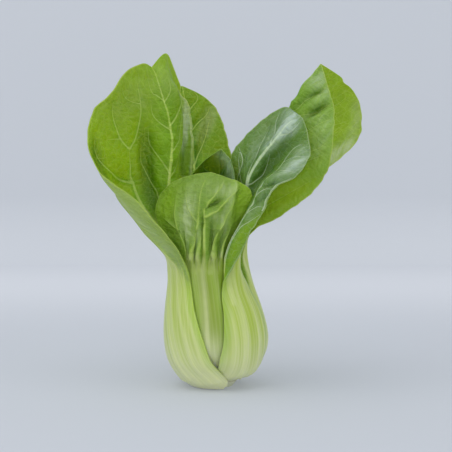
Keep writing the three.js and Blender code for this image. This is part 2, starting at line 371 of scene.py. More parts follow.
# %% Small waves and notches of the margins
MARGIN_WAVES = ((23, 0.4), (10, 0.35), (5.5, 0.22))  # the length and depth of each, in mm
WAVES_END = (0.94, 0.99)  # the waves fade between these places along the leaf
DEEPEST_CUT = 0.35  # the most that the waves take of a half's width


def trim_margins(leaf, sheet, across, along, seed):
    """Draws the blade's margins in a little here and there. A notch is (side, along, depth, reach)."""
    across_mm, along_mm, _ = leaf_distances(sheet)
    up = along_mm[:, 0]
    random = np.random.default_rng(seed)
    past_neck = between(leaf["blade_from"][1], leaf["blade_from"][0] + 0.1, along)
    blade = past_neck * (1 - between(*WAVES_END, along))
    trimmed = sheet.copy()
    for side, half_width in ((-1, -across_mm[:, 0]), (1, across_mm[:, -1])):
        cut = np.zeros(len(up))
        for length, depth in MARGIN_WAVES:
            wave = np.sin(2 * np.pi * up / length + random.uniform(0, 2 * np.pi))
            cut += depth * (0.5 + 0.5 * wave) * blade
        for notch_side, place, depth, reach in leaf.get("notches", []):
            distance = up - np.interp(place, along, up)
            cut += (notch_side == side) * depth * np.exp(-((distance / reach) ** 2))
        share = np.clip(cut / np.maximum(half_width, 1), 0, DEEPEST_CUT)
        columns = across * side >= 0
        for row, row_share in enumerate(share):
            places = across * (1 - row_share * np.abs(across) ** 6)
            for axis in range(3):
                drawn_in = np.interp(places, across, sheet[row, :, axis])
                trimmed[row, columns, axis] = drawn_in[columns]
    return trimmed


# %% The two faces as one closed mesh
def closed_faces(rows, columns):
    """The quads of an outer and an inner grid of points, and of the rim that joins them."""
    index = np.arange(rows * columns).reshape(rows, columns)
    corners = (index[:-1, :-1], index[:-1, 1:], index[1:, 1:], index[1:, :-1])
    outer = np.stack(corners, -1).reshape(-1, 4)
    inner = outer[:, ::-1] + rows * columns
    rim = np.concatenate([index[0, :-1], index[:-1, -1], index[-1, :0:-1], index[:0:-1, 0]])
    after = np.roll(rim, -1)
    back = rows * columns
    side = np.stack([rim, rim + back, after + back, after], -1)
    return np.concatenate([outer, inner, side])


def add_attribute(mesh, name, values):
    values = np.ascontiguousarray(values, np.float32)
    kind, field = ("FLOAT_VECTOR", "vector") if values.ndim == 2 else ("FLOAT", "value")
    mesh.attributes.new(name, kind, "POINT").data.foreach_set(field, values.ravel())


def leaf_mesh(name, leaf, seed):
    """The leaf's closed mesh with its attributes, and the sheet that it was built on."""
    across, along = leaf_grid(leaf)
    sheet = trim_margins(leaf, surface(leaf, across, along), across, along, seed)
    place = np.stack(leaf_distances(sheet)[:2], -1)
    push = brushed(place, leaf.get("folds", []))
    sheet = sheet + outward_normals(sheet) * push[..., None]
    normals = outward_normals(sheet)
    across_mm, along_mm, edge_mm = leaf_distances(sheet)
    out, back = wall(leaf, across[None, :], along[:, None])
    tissue_start = leaf["blade_from"][0] + (leaf["blade_from"][1] - leaf["blade_from"][0]) * np.abs(across)
    past_neck = along[:, None] - tissue_start[None, :]
    blade = between(-0.012, 0.03, past_neck)
    midrib_end = leaf.get("midrib_end", 1.0)
    midrib = leaf["midrib"] * (1 - 0.9 * along[:, None])
    midrib = midrib * (1 - between(midrib_end - 0.03, midrib_end, along[:, None]))

    points = [sheet + normals * out[..., None], sheet - normals * back[..., None]]
    mesh = bpy.data.meshes.new(name)
    faces = closed_faces(*sheet.shape[:2])
    mesh.from_pydata((np.concatenate(points).reshape(-1, 3) * MM).tolist(), [], faces.tolist())
    ones = np.ones(across_mm.size)

    def both(values):
        return np.concatenate([np.broadcast_to(values, across_mm.shape).ravel()] * 2)

    add_attribute(mesh, "sheet", np.tile(sheet.reshape(-1, 3) * MM, (2, 1)))
    add_attribute(mesh, "outwards", np.tile(normals.reshape(-1, 3), (2, 1)))
    add_attribute(mesh, "leaf_mm", np.stack([both(across_mm), both(along_mm), 0 * both(along_mm)], -1))
    add_attribute(mesh, "edge_mm", both(edge_mm))
    add_attribute(mesh, "along", both(along[:, None]))
    add_attribute(mesh, "blade", both(blade))
    add_attribute(mesh, "past_neck", both(past_neck))
    # how far a fold presses the face in; the material paints shade there
    add_attribute(mesh, "hollow_mm", np.concatenate([-push.ravel(), push.ravel()]))
    add_attribute(mesh, "midrib_mm", both(np.maximum(midrib, 0.02)))
    add_attribute(mesh, "outer", np.concatenate([ones, 0 * ones]))
    for paint in ("bloom", "bright", "painted_shade"):
        add_attribute(mesh, paint, both(brushed(place, leaf.get(paint, []))))
    return mesh, sheet


# %% [markdown]
# ## Veins and quilted tissue
#
# Veins are what makes a leaf a leaf. They stand proud on its outer face, lie in a slight groove
# on its inner face, and the tissue between them is quilted towards the inside. They could be
# painted, but a highlight shows at once that nothing is there. So each vein is drawn as a line
# on the sheet, and a Geometry Nodes tree raises the leaf along the nearest one. The tree also
# keeps the way to the nearest vein at each point, so the material draws it as a sharp line.

# %% Draw the veins of a leaf as lines on its sheet
VEIN_END_SHARE = 0.4  # a vein's width near its end, of that at its start
VEIN_POINT = 8  # the higher, the shorter the point it ends in


def vein_lines(name, leaf, sheet):
    points, edges, widths = [], [], []
    for half_width, corners in leaf["veins"]:
        path = drawn_path(corners, VEIN_STEPS)
        start = len(points)
        points.extend(on_grid(sheet, path[:, 0], path[:, 1]) * MM)
        edges.extend((i, i + 1) for i in range(start, len(points) - 1))
        shares = np.linspace(0, 1, len(path))
        taper = 1 - (1 - VEIN_END_SHARE) * shares
        widths.extend(half_width * taper * (1 - shares**VEIN_POINT))
    mesh = bpy.data.meshes.new(name + "_veins")
    mesh.from_pydata([tuple(p) for p in points], edges, [])
    add_attribute(mesh, "half_width", np.array(widths))
    return add_object(name + "_veins", mesh)


def side_veins(side, starts, rise=0.11, reach=0.82, half_width=0.42):
    """Veins that leave the midrib at the given places along it and curve up to the margin."""
    made = []
    for start in starts:
        corners = [
            (0, start),
            (0.3 * side * reach, start + 0.3 * rise),
            (0.68 * side * reach, start + 0.62 * rise),
            (side * reach, start + 1.05 * rise),
        ]
        made.append((half_width, corners))
    return made


def on_both_sides(half_width, corners):
    """A vein on the right half and the same one on the left half."""
    return [(half_width, [(side * across, along) for across, along in corners]) for side in (-1, 1)]


# %% Start and end a Geometry Nodes tree
def geometry_tree(name, inputs):
    """An empty Geometry Nodes tree with named inputs. Each input is (name, type, value)."""
    group = bpy.data.node_groups.new(name, "GeometryNodeTree")
    group.interface.new_socket("Geometry", in_out="INPUT", socket_type="NodeSocketGeometry")
    for label, kind, value in inputs:
        socket = group.interface.new_socket(label, in_out="INPUT", socket_type=kind)
        if value is not None:
            socket.default_value = value
    group.interface.new_socket("Geometry", in_out="OUTPUT", socket_type="NodeSocketGeometry")
    tree = Tree(group)
    entry = group.nodes.new("NodeGroupInput")
    given = {socket.name: Wire(tree, socket) for socket in entry.outputs if socket.name}
    return group, tree, given


def named(tree, name, kind="FLOAT"):
    return tree.node("GeometryNodeInputNamedAttribute", {"data_type": kind}, {"Name": name})


def store(tree, geometry, name, value, kind="FLOAT"):
    values = {"Geometry": geometry, "Name": name, "Value": value}
    settings = {"data_type": kind, "domain": "POINT"}
    return tree.node("GeometryNodeStoreNamedAttribute", settings, values)


def finish_tree(tree, geometry, material):
    """Ends the tree as every tree here ends: real geometry, with its material."""
    real = tree.node("GeometryNodeRealizeInstances", {}, {"Geometry": geometry})
    dressed = tree.node("GeometryNodeSetMaterial", {}, {"Geometry": real, "Material": material})
    output = tree.nodes.new("NodeGroupOutput")
    tree.links.new(dressed.socket, output.inputs[0])


# %% The tree that raises the veins
VEIN_REACH, LEAST_REACH = 1.1, 0.0003  # how far a raised vein reaches: of its width, and in metres
VEIN_OUT, VEIN_IN = 1.4, 0.4  # how far veins stand out on the outer face, and lie in on the inner one
RUFFLE_SCALE = 55.0
FLAT_MARGIN, RUFFLED_MARGIN = 0.006, 0.02  # how far in the quilting starts and the ruffle fades, in metres


def relief_tree():
    inputs = [
        ("Veins", "NodeSocketObject", None),
        ("Tissue", "NodeSocketMaterial", None),
        ("Vein height", "NodeSocketFloat", 0.0009),
        ("Stalk ridges", "NodeSocketFloat", 0.35),
        ("Quilt depth", "NodeSocketFloat", 0.0014),
        ("Quilt reach", "NodeSocketFloat", 0.004),
        ("Ruffle", "NodeSocketFloat", 0.0012),
        ("Seed", "NodeSocketFloat", 0.0),
    ]
    group, tree, given = geometry_tree("leaf_relief", inputs)
    sheet = named(tree, "sheet", "FLOAT_VECTOR")
    blade, outer = named(tree, "blade"), named(tree, "outer")
    edge = named(tree, "edge_mm") * MM
    lines = tree.node("GeometryNodeObjectInfo", {}, {"Object": given["Veins"]}, "Geometry")

    nearest = {"Geometry": lines, "Sample Position": sheet}
    spot = tree.node("GeometryNodeProximity", {"target_element": "EDGES"}, nearest)
    gap = tree.node("GeometryNodeProximity", {"target_element": "EDGES"}, nearest, "Distance")
    at_spot = {"Geometry": lines, "Sample Position": spot}
    index = tree.node("GeometryNodeSampleNearest", {"domain": "POINT"}, at_spot)
    width_there = {"Geometry": lines, "Value": named(tree, "half_width"), "Index": index}
    width = tree.node("GeometryNodeSampleIndex", {"data_type": "FLOAT", "domain": "POINT"}, width_there)

    on_vein = tree.hump(gap, width * MM * VEIN_REACH + LEAST_REACH)
    near_neck = 1 - tree.step(named(tree, "past_neck"), 0.0, 0.22)
    vein = given["Vein height"] * width * on_vein * (given["Stalk ridges"] + blade * (1 + 1.2 * near_neck))
    vein_shift = vein * (outer * VEIN_OUT - VEIN_IN * (1 - outer) * blade)

    quilted = (1 - tree.hump(gap, given["Quilt reach"])) * blade * tree.step(edge, 0, FLAT_MARGIN)
    quilt_shift = given["Quilt depth"] * quilted

    place = tree.vector_math("ADD", sheet, tree.node("ShaderNodeCombineXYZ", {}, {"X": given["Seed"]}))
    waves = {"Vector": place, "Scale": RUFFLE_SCALE, "Detail": 1.0}
    wave = tree.node("ShaderNodeTexNoise", {}, waves) - 0.5
    ruffle_shift = given["Ruffle"] * wave * 2 * blade * (1 - 0.75 * tree.step(edge, 0, RUFFLED_MARGIN))

    shift = vein_shift - quilt_shift + ruffle_shift
    outwards = named(tree, "outwards", "FLOAT_VECTOR")
    offset = tree.node("ShaderNodeVectorMath", {"operation": "SCALE"}, {0: outwards, "Scale": shift})
    raised = tree.node("GeometryNodeSetPosition", {}, {"Geometry": given["Geometry"], "Offset": offset})
    to_vein = tree.vector_math("SUBTRACT", spot, sheet)
    kept = store(tree, raised, "to_vein", to_vein, "FLOAT_VECTOR")
    kept = store(tree, kept, "vein_gap_mm", gap * 1000)
    kept = store(tree, kept, "vein_mm", width)
    finish_tree(tree, kept, given["Tissue"])
    return group


RELIEF = relief_tree()
print(f"the relief tree has {len(RELIEF.nodes)} nodes")


# %% Grow a leaf with the tree
def set_inputs(modifier, values):
    """Sets a Geometry Nodes modifier's inputs, found by their names, through their identifiers."""
    for item in modifier.node_group.interface.items_tree:
        if item.in_out == "INPUT" and item.name in values:
            modifier[item.identifier] = values[item.name]


def grow(source, group, values, name):
    """Runs a tree on an object, keeps the result as a plain mesh, and leaves no modifier."""
    modifier = source.modifiers.new("grow", "NODES")
    modifier.node_group = group
    set_inputs(modifier, values)
    evaluated = source.evaluated_get(bpy.context.evaluated_depsgraph_get())
    mesh = bpy.data.meshes.new_from_object(evaluated)
    bpy.data.objects.remove(source)
    mesh.shade_smooth()
    return add_object(name, mesh)


def make_leaf(node, leaf, material, seed):
    mesh, sheet = leaf_mesh(node + "_sheet", leaf, round(seed * 10))
    source = add_object(node + "_sheet", mesh)
    lines = vein_lines(node, leaf, sheet)
    sizes = {"Veins": lines, "Tissue": material, "Seed": seed, **leaf.get("relief", {})}
    piece = grow(source, RELIEF, sizes, "fresh_" + node)
    bpy.data.objects.remove(lines)
    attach(piece, "root")
    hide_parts(node)
    print(f"{piece.name}: {len(piece.data.polygons)} faces, {len(leaf['veins'])} veins")
    return piece


# %% [markdown]
# ## Leaf tissue
#
# A leaf is not one green. Its inner face is deep and glossy, its outer face paler and more
# matt with wax, its veins are pale, and the stalk goes from fresh yellow-green at the neck to
# nearly white at the foot. Light shines through the blade, so a leaf lit from behind glows
# yellow. Over this, sheen, light and shade are painted into the colour in brushed patches.
# One material does all of this from the attributes kept on each leaf: a Principled
# skin mixed with a Translucent one for the light that comes through.


# %% Colours, layers and patterns
def rgb(red, green, blue):
    """A colour from its 0 to 255 screen values, as the linear values that nodes use."""
    shares = [value / 255 for value in (red, green, blue)]
    linear = [s / 12.92 if s <= 0.04045 else ((s + 0.055) / 1.055) ** 2.4 for s in shares]
    return (*linear, 1)


def shaded(colour, share):
    return (*[min(part * share, 1) for part in colour[:3]], 1)


def blended(share, first, second):
    """The colour that lies that share of the way from the first to the second."""
    return tuple(a * (1 - share) + b * share for a, b in zip(first, second))


def mix(tree, share, first, second):
    """The same as nodes, where the share or a colour changes over the surface."""
    values = {"Factor": share, 6: first, 7: second}
    return tree.node("ShaderNodeMix", {"data_type": "RGBA"}, values, 2)


def layered(tree, colour, layers):
    """Lays colours over a first one. Each layer is (share, colour), and the last lies on top."""
    for share, cover in layers:
        colour = mix(tree, share, colour, cover)
    return colour


def attribute(tree, name, output="Fac"):
    return tree.node("ShaderNodeAttribute", {"attribute_name": name}, {}, output)


def stretched(tree, vector, across, along):
    """Leaf coordinates scaled differently across and along, for patterns that run lengthwise."""
    return tree.vector_math("MULTIPLY", vector, (across, along, 1))


def noise(tree, vector, scale, detail=2.0):
    return tree.node("ShaderNodeTexNoise", {}, {"Vector": vector, "Scale": scale, "Detail": detail})


def cells(tree, vector, scale):
    """How far a place is from the borders of its cell, as in a net of small veins."""
    values = {"Vector": vector, "Scale": scale}
    return tree.node("ShaderNodeTexVoronoi", {"feature": "DISTANCE_TO_EDGE"}, values)


def bare_material(name):
    """A new material without any nodes, and its tree."""
    material = bpy.data.materials.new(name)
    material.use_nodes = True
    material.node_tree.nodes.clear()
    return material, Tree(material.node_tree)


def finish_material(tree, shader):
    output = tree.nodes.new("ShaderNodeOutputMaterial")
    tree.links.new(shader.socket, output.inputs["Surface"])


# %% Where the veins, the blade and the patterns are
MIDRIB_FADE = (0.5, 1.1)  # the midrib's colour fades between these shares of its half width
VEIN_FADE = (0.5, 1.25)  # and a side vein's between these
STRAND_FADE = (0.6, 3.0)  # and a stalk's pale strands between these
NET_SCALE, FINE_NET_SCALE = 0.24, 0.75  # cells a millimetre


def leaf_places(tree):
    """What the colours and the relief read at each place. Most of it goes from 0 to 1."""
    at = SimpleNamespace(place=attribute(tree, "leaf_mm", "Vector"))
    at.outer, at.along = attribute(tree, "outer"), attribute(tree, "along")
    at.edge, at.vein_mm = attribute(tree, "edge_mm"), attribute(tree, "vein_mm")
    at.bloom, at.bright = attribute(tree, "bloom"), attribute(tree, "bright")

    across_mm = tree.node("ShaderNodeSeparateXYZ", {}, {0: at.place}, "X").math("ABSOLUTE")
    at.midrib = 1 - tree.step(across_mm / attribute(tree, "midrib_mm"), *MIDRIB_FADE)
    gap = tree.vector_math("LENGTH", attribute(tree, "to_vein", "Vector"), output="Value") * 1000
    near = 1 - tree.step(attribute(tree, "vein_gap_mm"), 2.0, 3.0)
    vein_share = gap / (at.vein_mm + 0.06)
    at.side_vein = (1 - tree.step(vein_share, *VEIN_FADE)) * near
    at.strand = (1 - tree.step(vein_share, *STRAND_FADE)) * near
    past_neck = attribute(tree, "past_neck") - 0.03 * at.strand - 0.05 * at.midrib
    at.blade = tree.step(past_neck, -0.02, 0.025)

    at.wander = noise(tree, at.place, 0.35, 2.0)
    drift = tree.node("ShaderNodeTexNoise", {}, {"Vector": at.place, "Scale": 0.3}, "Color")
    bent = tree.vector_math("ADD", at.place, drift)
    at.cells, at.small_cells = cells(tree, bent, NET_SCALE), cells(tree, bent, FINE_NET_SCALE)
    at.cloud = tree.step(noise(tree, at.place, 0.07, 3.0), 0.3, 0.7)
    at.ripple = tree.step(noise(tree, stretched(tree, bent, 0.16, 0.62), 1.0, 1.0), 0.35, 0.65)
    # streaks of painted sheen over the waxy bloom; the same share also makes the skin glossier
    gloss_streaks = tree.step(noise(tree, stretched(tree, bent, 0.5, 0.07), 1.0, 3.0), 0.3, 0.7)
    at.waxy = (at.bloom * (0.45 + 0.75 * gloss_streaks)).at_most(1.0)
    return at


# %% The colour of the blade
BRUSHED_COVER = 0.85  # how far a full brush stroke covers what lies under it


def blade_colour(tree, at, look):
    """The two faces, then ripples with painted shade in their dips, brushed painted light and painted shade,
    wax with painted sheen, painted shade in the hollows, the net, the veins and the margin.
    """
    patches = at.cloud * 0.35 + at.wander * 0.2
    upper = mix(tree, patches, look["inner"], shaded(look["inner"], 0.74))
    under = mix(tree, patches, look["outer_green"], shaded(look["outer_green"], 0.78))
    net = (1 - tree.step(at.cells, 0.0, 0.06)) * 0.2
    fine_net = (1 - tree.step(at.small_cells, 0.0, 0.1)) * 0.12
    vein_cover = look["veined"] + 0.4 * at.vein_mm.at_most(1.0)
    midrib_cover = look["ribbed"] * (1 - 0.4 * tree.step(at.along, 0.5, 0.8))
    midrib_tint = mix(tree, tree.step(at.along, 0.3, 0.6), look["neck"], look["vein"])
    margin_tint = blended(0.45, look["vein"], look["bright"])
    layers = [
        (at.outer, under),
        # a touch of painted shade where the ripples dip
        (at.ripple * 0.16, look["shade"]),
        # painted light, brushed where the leaf is lit more
        (at.bright.at_most(1.0) * BRUSHED_COVER, look["bright"]),
        # painted shade, brushed where the leaf lies in shade
        (attribute(tree, "painted_shade").at_most(1.0) * BRUSHED_COVER, look["shade"]),
        # painted sheen over the waxy bloom
        (at.waxy, look["bloom"]),
        # painted shade in the hollows that the folds press in
        (tree.step(attribute(tree, "hollow_mm"), 0.2, 2.2) * 0.8, look["shade"]),
        ((net + fine_net) * (0.6 + 0.4 * at.outer), look["vein"]),
        (at.side_vein * vein_cover, look["vein"]),
        (at.midrib * midrib_cover, midrib_tint),
        ((1 - tree.step(at.edge, 0.2, 0.9)) * 0.6, margin_tint),
    ]
    return layered(tree, upper, layers)


# %% The colour of the stalk
def stalk_colour(tree, at, look):
    """From pale at the foot to green at the neck, with pale strands, greener edges, painted light on the
    sides and painted highlights.
    """
    streaks = noise(tree, stretched(tree, at.place, 0.22, 0.006), 1.0, 2.0)
    fine_streaks = noise(tree, stretched(tree, at.place, 0.9, 0.012), 1.0, 2.0)
    whiter = shaded(look["foot"], 1.08)
    low = 1 - tree.step(at.along, 0.08, 0.34)
    streaky = look["streaky"]
    # the thin edges are greener, and brushed painted light brightens the sides in the gaps between stalks
    green_edge = (1 - tree.step(at.edge, 0.5, 6.0)) * 0.5 * tree.step(at.along, 0.04, 0.2)
    green_sides = (at.bright * 0.8 + green_edge).at_most(0.8)
    layers = [
        (tree.step(at.along + streaks * 0.1, 0.05, 0.3), look["neck"]),
        (tree.step(streaks, 0.4, 0.65) * (0.15 + 0.35 * low) * streaky, whiter),
        (tree.step(fine_streaks, 0.42, 0.62) * (0.22 + 0.2 * low) * streaky, whiter),
        (at.strand * (0.2 + 0.2 * low) * streaky, whiter),
        (green_sides * (1 - 0.4 * at.strand), look["bright"]),
        # painted highlight on the stalk where the waxy bloom is brushed
        (at.bloom.at_most(0.9), whiter),
    ]
    return layered(tree, look["foot"], layers)


# %% The material of a leaf
GROWN = {  # the other leaves' looks are changes to this one
    "inner": rgb(135, 181, 14),
    "outer_green": rgb(176, 206, 112),
    "vein": rgb(216, 236, 128),
    "neck": rgb(180, 200, 92),
    "foot": rgb(220, 224, 176),
    "glow": rgb(190, 225, 30),  # light that comes through the blade
    "shade": rgb(58, 102, 2),  # painted shade: in hollows, ripple dips and brushed dark patches
    "bloom": rgb(182, 206, 146),  # waxy bloom, with painted sheen on it
    "bright": rgb(156, 196, 44),  # painted light on lit patches and on the stalk's sides; it also tints the margin
    "through": 0.27,  # the share of light that comes through
    "matt": 0.4,  # the roughness of the skin
    "streaky": 1.0,  # how clearly the stalk's pale strands show
    "veined": 0.34,  # how clearly the finest veins show
    "ribbed": 0.64,  # how clearly the midrib shows
}


def leaf_tissue(name, *changes):
    """The grown leaf's look with one set of changes after another."""
    look = dict(GROWN)
    for change in changes:
        look.update(change)
    material, tree = bare_material(name)
    at = leaf_places(tree)
    colour = mix(tree, at.blade, stalk_colour(tree, at, look), blade_colour(tree, at, look))

    blister = at.cells.at_most(0.35) * 1.6 + at.small_cells.at_most(0.3) * 0.3
    grain = noise(tree, at.place, 2.2, 3.0) * 0.06
    rise = (at.side_vein * 0.3 - blister) * (at.outer * 2 - 1) - at.ripple * 0.3 + grain
    stalk_grain = noise(tree, stretched(tree, at.place, 1.1, 0.03), 1.0, 2.0) * 0.2
    height = rise * at.blade + stalk_grain * (1 - at.blade)
    bump = tree.node("ShaderNodeBump", {}, {"Strength": 0.6, "Distance": MM, "Height": height})

    matt = look["matt"] + 0.1 * at.outer * at.blade + 0.1 * at.wander
    roughness = matt - 0.06 * (1 - at.blade) - 0.08 * at.waxy
    skin = {"Base Color": colour, "Roughness": roughness, "Normal": bump, "Specular IOR Level": 0.33}
    skin.update({"Subsurface Weight": 0.4, "Subsurface Radius": (1, 1, 0.3), "Subsurface Scale": 0.006})
    principled = tree.node("ShaderNodeBsdfPrincipled", {}, skin)
    lit = {"Color": look["glow"], "Normal": bump}
    translucent = tree.node("ShaderNodeBsdfTranslucent", {}, lit)
    share = look["through"] * at.blade * (1 - 0.6 * at.midrib) * (1 - 0.6 * at.waxy)
    finish_material(tree, tree.node("ShaderNodeMixShader", {}, {0: share, 1: principled, 2: translucent}))
    return material


# %% The seven tissues
SUNLIT = {"outer_green": rgb(144, 192, 34), "inner": rgb(130, 179, 46), "bloom": rgb(184, 206, 160)}
BACK = {
    "inner": rgb(84, 141, 0),
    "glow": rgb(125, 205, 10),
    "bloom": rgb(184, 210, 146),
    "bright": rgb(102, 150, 12),
    "through": 0.14,
}
FRONT = {
    "outer_green": rgb(142, 182, 62),
    "vein": rgb(192, 216, 108),
    "neck": rgb(140, 162, 48),
    # nearly white as every foot is, and whiter still as painted light against the shade between the outer
    # stalks
    "foot": rgb(248, 252, 206),
    "shade": rgb(64, 102, 14),
    "bloom": rgb(182, 208, 132),
    "bright": rgb(166, 214, 44),
    "streaky": 0.35,
    "ribbed": 1.0,
}
DARK = {
    "inner": rgb(90, 133, 46),
    "outer_green": rgb(142, 186, 8),
    "vein": rgb(206, 226, 184),
    "neck": rgb(174, 196, 72),
    "glow": rgb(150, 205, 10),
    "shade": rgb(72, 112, 34),
    "bloom": rgb(176, 200, 172),
    "bright": rgb(126, 172, 2),
    "through": 0.22,
    "matt": 0.36,
    "veined": 0.6,
    "ribbed": 1.0,
}
SHADED = {"vein": rgb(116, 156, 84), "inner": rgb(52, 98, 8), "bloom": rgb(152, 182, 140)}
HEART = {
    "inner": rgb(150, 180, 80),
    "outer_green": rgb(170, 195, 100),
    "vein": rgb(200, 212, 140),
    "neck": rgb(205, 214, 150),
    "foot": rgb(225, 228, 190),
    "shade": rgb(120, 150, 50),
}
GROWN_TISSUE = leaf_tissue("grown_leaf_tissue")
SUNLIT_TISSUE = leaf_tissue("sunlit_leaf_tissue", SUNLIT)
BACK_TISSUE = leaf_tissue("back_leaf_tissue", BACK)
FRONT_TISSUE = leaf_tissue("front_leaf_tissue", FRONT)
DARK_TISSUE = leaf_tissue("dark_leaf_tissue", DARK)
SHADED_TISSUE = leaf_tissue("shaded_leaf_tissue", DARK, SHADED)
HEART_TISSUE = leaf_tissue("heart_leaf_tissue", HEART)
print(f"{len(bpy.data.materials)} materials")

# %% [markdown]
# ## The outer left leaf
#
# The largest leaf. Its stalk clasps the front of the head, and its blade opens to the left like
# a spoon. The near half rolls forward at the bottom, so a strip of its pale outer face shows
# there, and the far half folds back on itself in an S.

# %% Outer left leaf
OUTER_LEFT_LEAF = {
    "thickness": 6.5,
    "grid": (170, 285),
    "midrib": 1.9,
    "blade_from": (0.5, 0.34),
    "stalk": [
        (0.6, 220, 68, 65, 15.5, 15, 16),
        (5.5, 217, 68, 73, 21.8, 20.5, 19.5),
        (16, 208, 64, 57, 27.8, 26.5, 26.5),
        (30, 200, 61, 55, 29.8, 28, 28.3),
        (46, 193, 55, 50, 29, 27, 27.5),
        (60, 187, 50, 48, 27.3, 25.5, 25.5),
    ],
    "blade": [
        ((-17.5, 20.5, 72), (-27, 1, 72), (-17.5, -23, 72.5), (3, 3)),
        ((-14.5, 24.5, 89), (-27.5, 3, 90), (-26.5, -27, 90), (2, 14)),
        ((-12, 28, 104), (-27.3, 4, 108), (-43.5, -28, 109.5), (2, 23), (2, 0)),
        ((-13, 31, 120), (-26, 5, 124), (-64.2, -27, 126.5), (4.2, 14), (3.6, 0)),
        ((-12.8, 33, 137), (-25, 5.5, 138), (-70.6, -21, 145), (4, 9), (4.5, 0)),
        ((-14, 33, 150), (-26.5, 6.5, 150), (-67.8, -15, 158), (1.4, 6), (5, 0)),
        ((-16.5, 30, 161), (-29.5, 8, 161.5), (-59.6, -10, 166.6), (-1.6, 4), (5, 0)),
        ((-22, 27, 174), (-32.5, 9.5, 170), (-50, -3, 178.5), (-1.5, 2), (3, 0)),
        ((-28.3, 21, 187.5), (-35, 11, 176.5), (-41, 5, 183), (0, 1)),
    ],
    "tip": (-36.4, 12, 180.4),
    "veins": [
        (0.45, [(0, 0.585), (0.1, 0.62), (0.17, 0.645), (0.21, 0.665), (0.23, 0.71)]),
        (0.4, [(0, 0.705), (0.08, 0.72), (0.14, 0.735), (0.185, 0.755), (0.2, 0.79)]),
        (0.35, [(0, 0.8), (0.09, 0.82), (0.17, 0.83), (0.27, 0.875)]),
        (0.5, [(0.05, 0.3), (0.05, 0.45), (0.075, 0.53), (0.13, 0.56), (0.21, 0.59),
               (0.265, 0.615), (0.285, 0.66)]),
        (1.15, [(0.16, 0.08), (0.14, 0.3), (0.16, 0.44), (0.21, 0.52), (0.26, 0.555),
               (0.35, 0.585), (0.41, 0.64)]),
        (0.5, [(0.41, 0.64), (0.53, 0.665), (0.62, 0.7), (0.72, 0.74), (0.84, 0.79)]),
        (0.5, [(0.41, 0.64), (0.36, 0.67), (0.335, 0.72), (0.34, 0.77), (0.42, 0.82), (0.62, 0.87)]),
        (0.7, [(0.27, 0.56), (0.36, 0.563), (0.49, 0.57), (0.6, 0.58), (0.74, 0.6),
               (0.84, 0.63), (0.89, 0.67)]),
        (0.25, [(0.52, 0.665), (0.7, 0.66)]),
        (0.25, [(0.36, 0.785), (0.5, 0.79), (0.64, 0.8), (0.82, 0.825)]),
        (0.7, [(0.35, 0.05), (0.36, 0.2), (0.33, 0.33), (0.36, 0.45), (0.5, 0.53)]),
        (0.7, [(0.6, 0.06), (0.62, 0.2), (0.6, 0.33), (0.68, 0.42), (0.8, 0.5)]),
        (0.6, [(0.82, 0.07), (0.84, 0.2), (0.84, 0.33), (0.9, 0.42)]),
        (0.45, [(0, 0.64), (-0.08, 0.66), (-0.15, 0.675), (-0.19, 0.71), (-0.32, 0.78)]),
        (0.4, [(0, 0.795), (-0.07, 0.81), (-0.15, 0.83), (-0.25, 0.87)]),
        (0.4, [(0, 0.575), (-0.08, 0.595), (-0.2, 0.62), (-0.4, 0.66), (-0.6, 0.71)]),
        (0.5, [(-0.05, 0.3), (-0.08, 0.45), (-0.2, 0.53), (-0.4, 0.6), (-0.62, 0.67), (-0.8, 0.76)]),
        (0.5, [(0, 0.72), (-0.12, 0.745), (-0.3, 0.79), (-0.5, 0.85)]),
        (0.7, [(-0.3, 0.05), (-0.32, 0.2), (-0.3, 0.33), (-0.38, 0.45), (-0.6, 0.55), (-0.85, 0.66)]),
        (0.6, [(-0.62, 0.06), (-0.64, 0.2), (-0.62, 0.33), (-0.75, 0.44), (-0.9, 0.52)]),
        (0.55, [(-0.97, 0.5), (-0.975, 0.58), (-0.975, 0.65), (-0.975, 0.72), (-0.97, 0.8)]),
    ],
    "notches": [(-1, 0.82, 2.5, 2.5)],
    "folds": [
        (3.2, 5, [(0.1, 0.5), (0.16, 0.56), (0.21, 0.61), (0.25, 0.66), (0.28, 0.7)]),
        (4.0, 7, [(0.84, 0.48), (0.86, 0.54), (0.88, 0.6), (0.89, 0.64)]),
        (1.2, 2.5, [(-0.78, 0.54), (-0.84, 0.6), (-0.87, 0.66)]),
        (-1.0, 4, [(1, 0.23), (1, 0.3), (1, 0.36)]),
        (-1.4, 4, [(1, 0.06), (1, 0.12), (1, 0.18)]),
        (-0.4, 4, [(1, 0.16), (1, 0.2), (1, 0.25)]),
    ],
    # brushed paint: waxy bloom with painted sheen, then painted light and painted shade
    "bloom": [
        (1.4, 2.2, [(-0.84, 0.64), (-0.86, 0.68), (-0.88, 0.72), (-0.9, 0.78)]),
        (0.8, 1.0, [(-0.9, 0.66), (-0.92, 0.7), (-0.94, 0.74), (-0.95, 0.8)]),
        (1.8, 0.8, [(-0.96, 0.57), (-0.98, 0.66), (-0.98, 0.72), (-0.98, 0.77), (-0.98, 0.82)]),
        (0.15, 7, [(-0.1, 0.9), (-0.3, 0.86), (-0.55, 0.88)]),
        (0.12, 9, [(0.15, 0.9), (0.4, 0.84), (0.7, 0.8), (0.8, 0.7)]),
        (0.6, 2.5, [(0.87, 0.57), (0.86, 0.54), (0.83, 0.5), (0.8, 0.45), (0.76, 0.42)]),
    ],
    "painted_shade": [
        (0.45, 13, [(0.05, 0.8), (0.3, 0.79), (0.6, 0.78), (0.85, 0.76)]),
        (0.35, 9, [(-0.12, 0.7), (-0.3, 0.78), (-0.4, 0.86)]),
        (0.35, 5, [(0.08, 0.5), (0.13, 0.55), (0.2, 0.6), (0.26, 0.65)]),
        (0.25, 4, [(0.96, 0.5), (0.97, 0.46), (0.97, 0.42)]),
    ],
}
make_leaf("outer_left_leaf", OUTER_LEFT_LEAF, GROWN_TISSUE, 0.0)

# %% [markdown]
# ## The front right leaf
#
# It stands beside the first one and leans to the right. Its dark, glossy inner face is turned
# to the viewer, with a pale midrib and a deep valley beside it, and its near margin curls in.

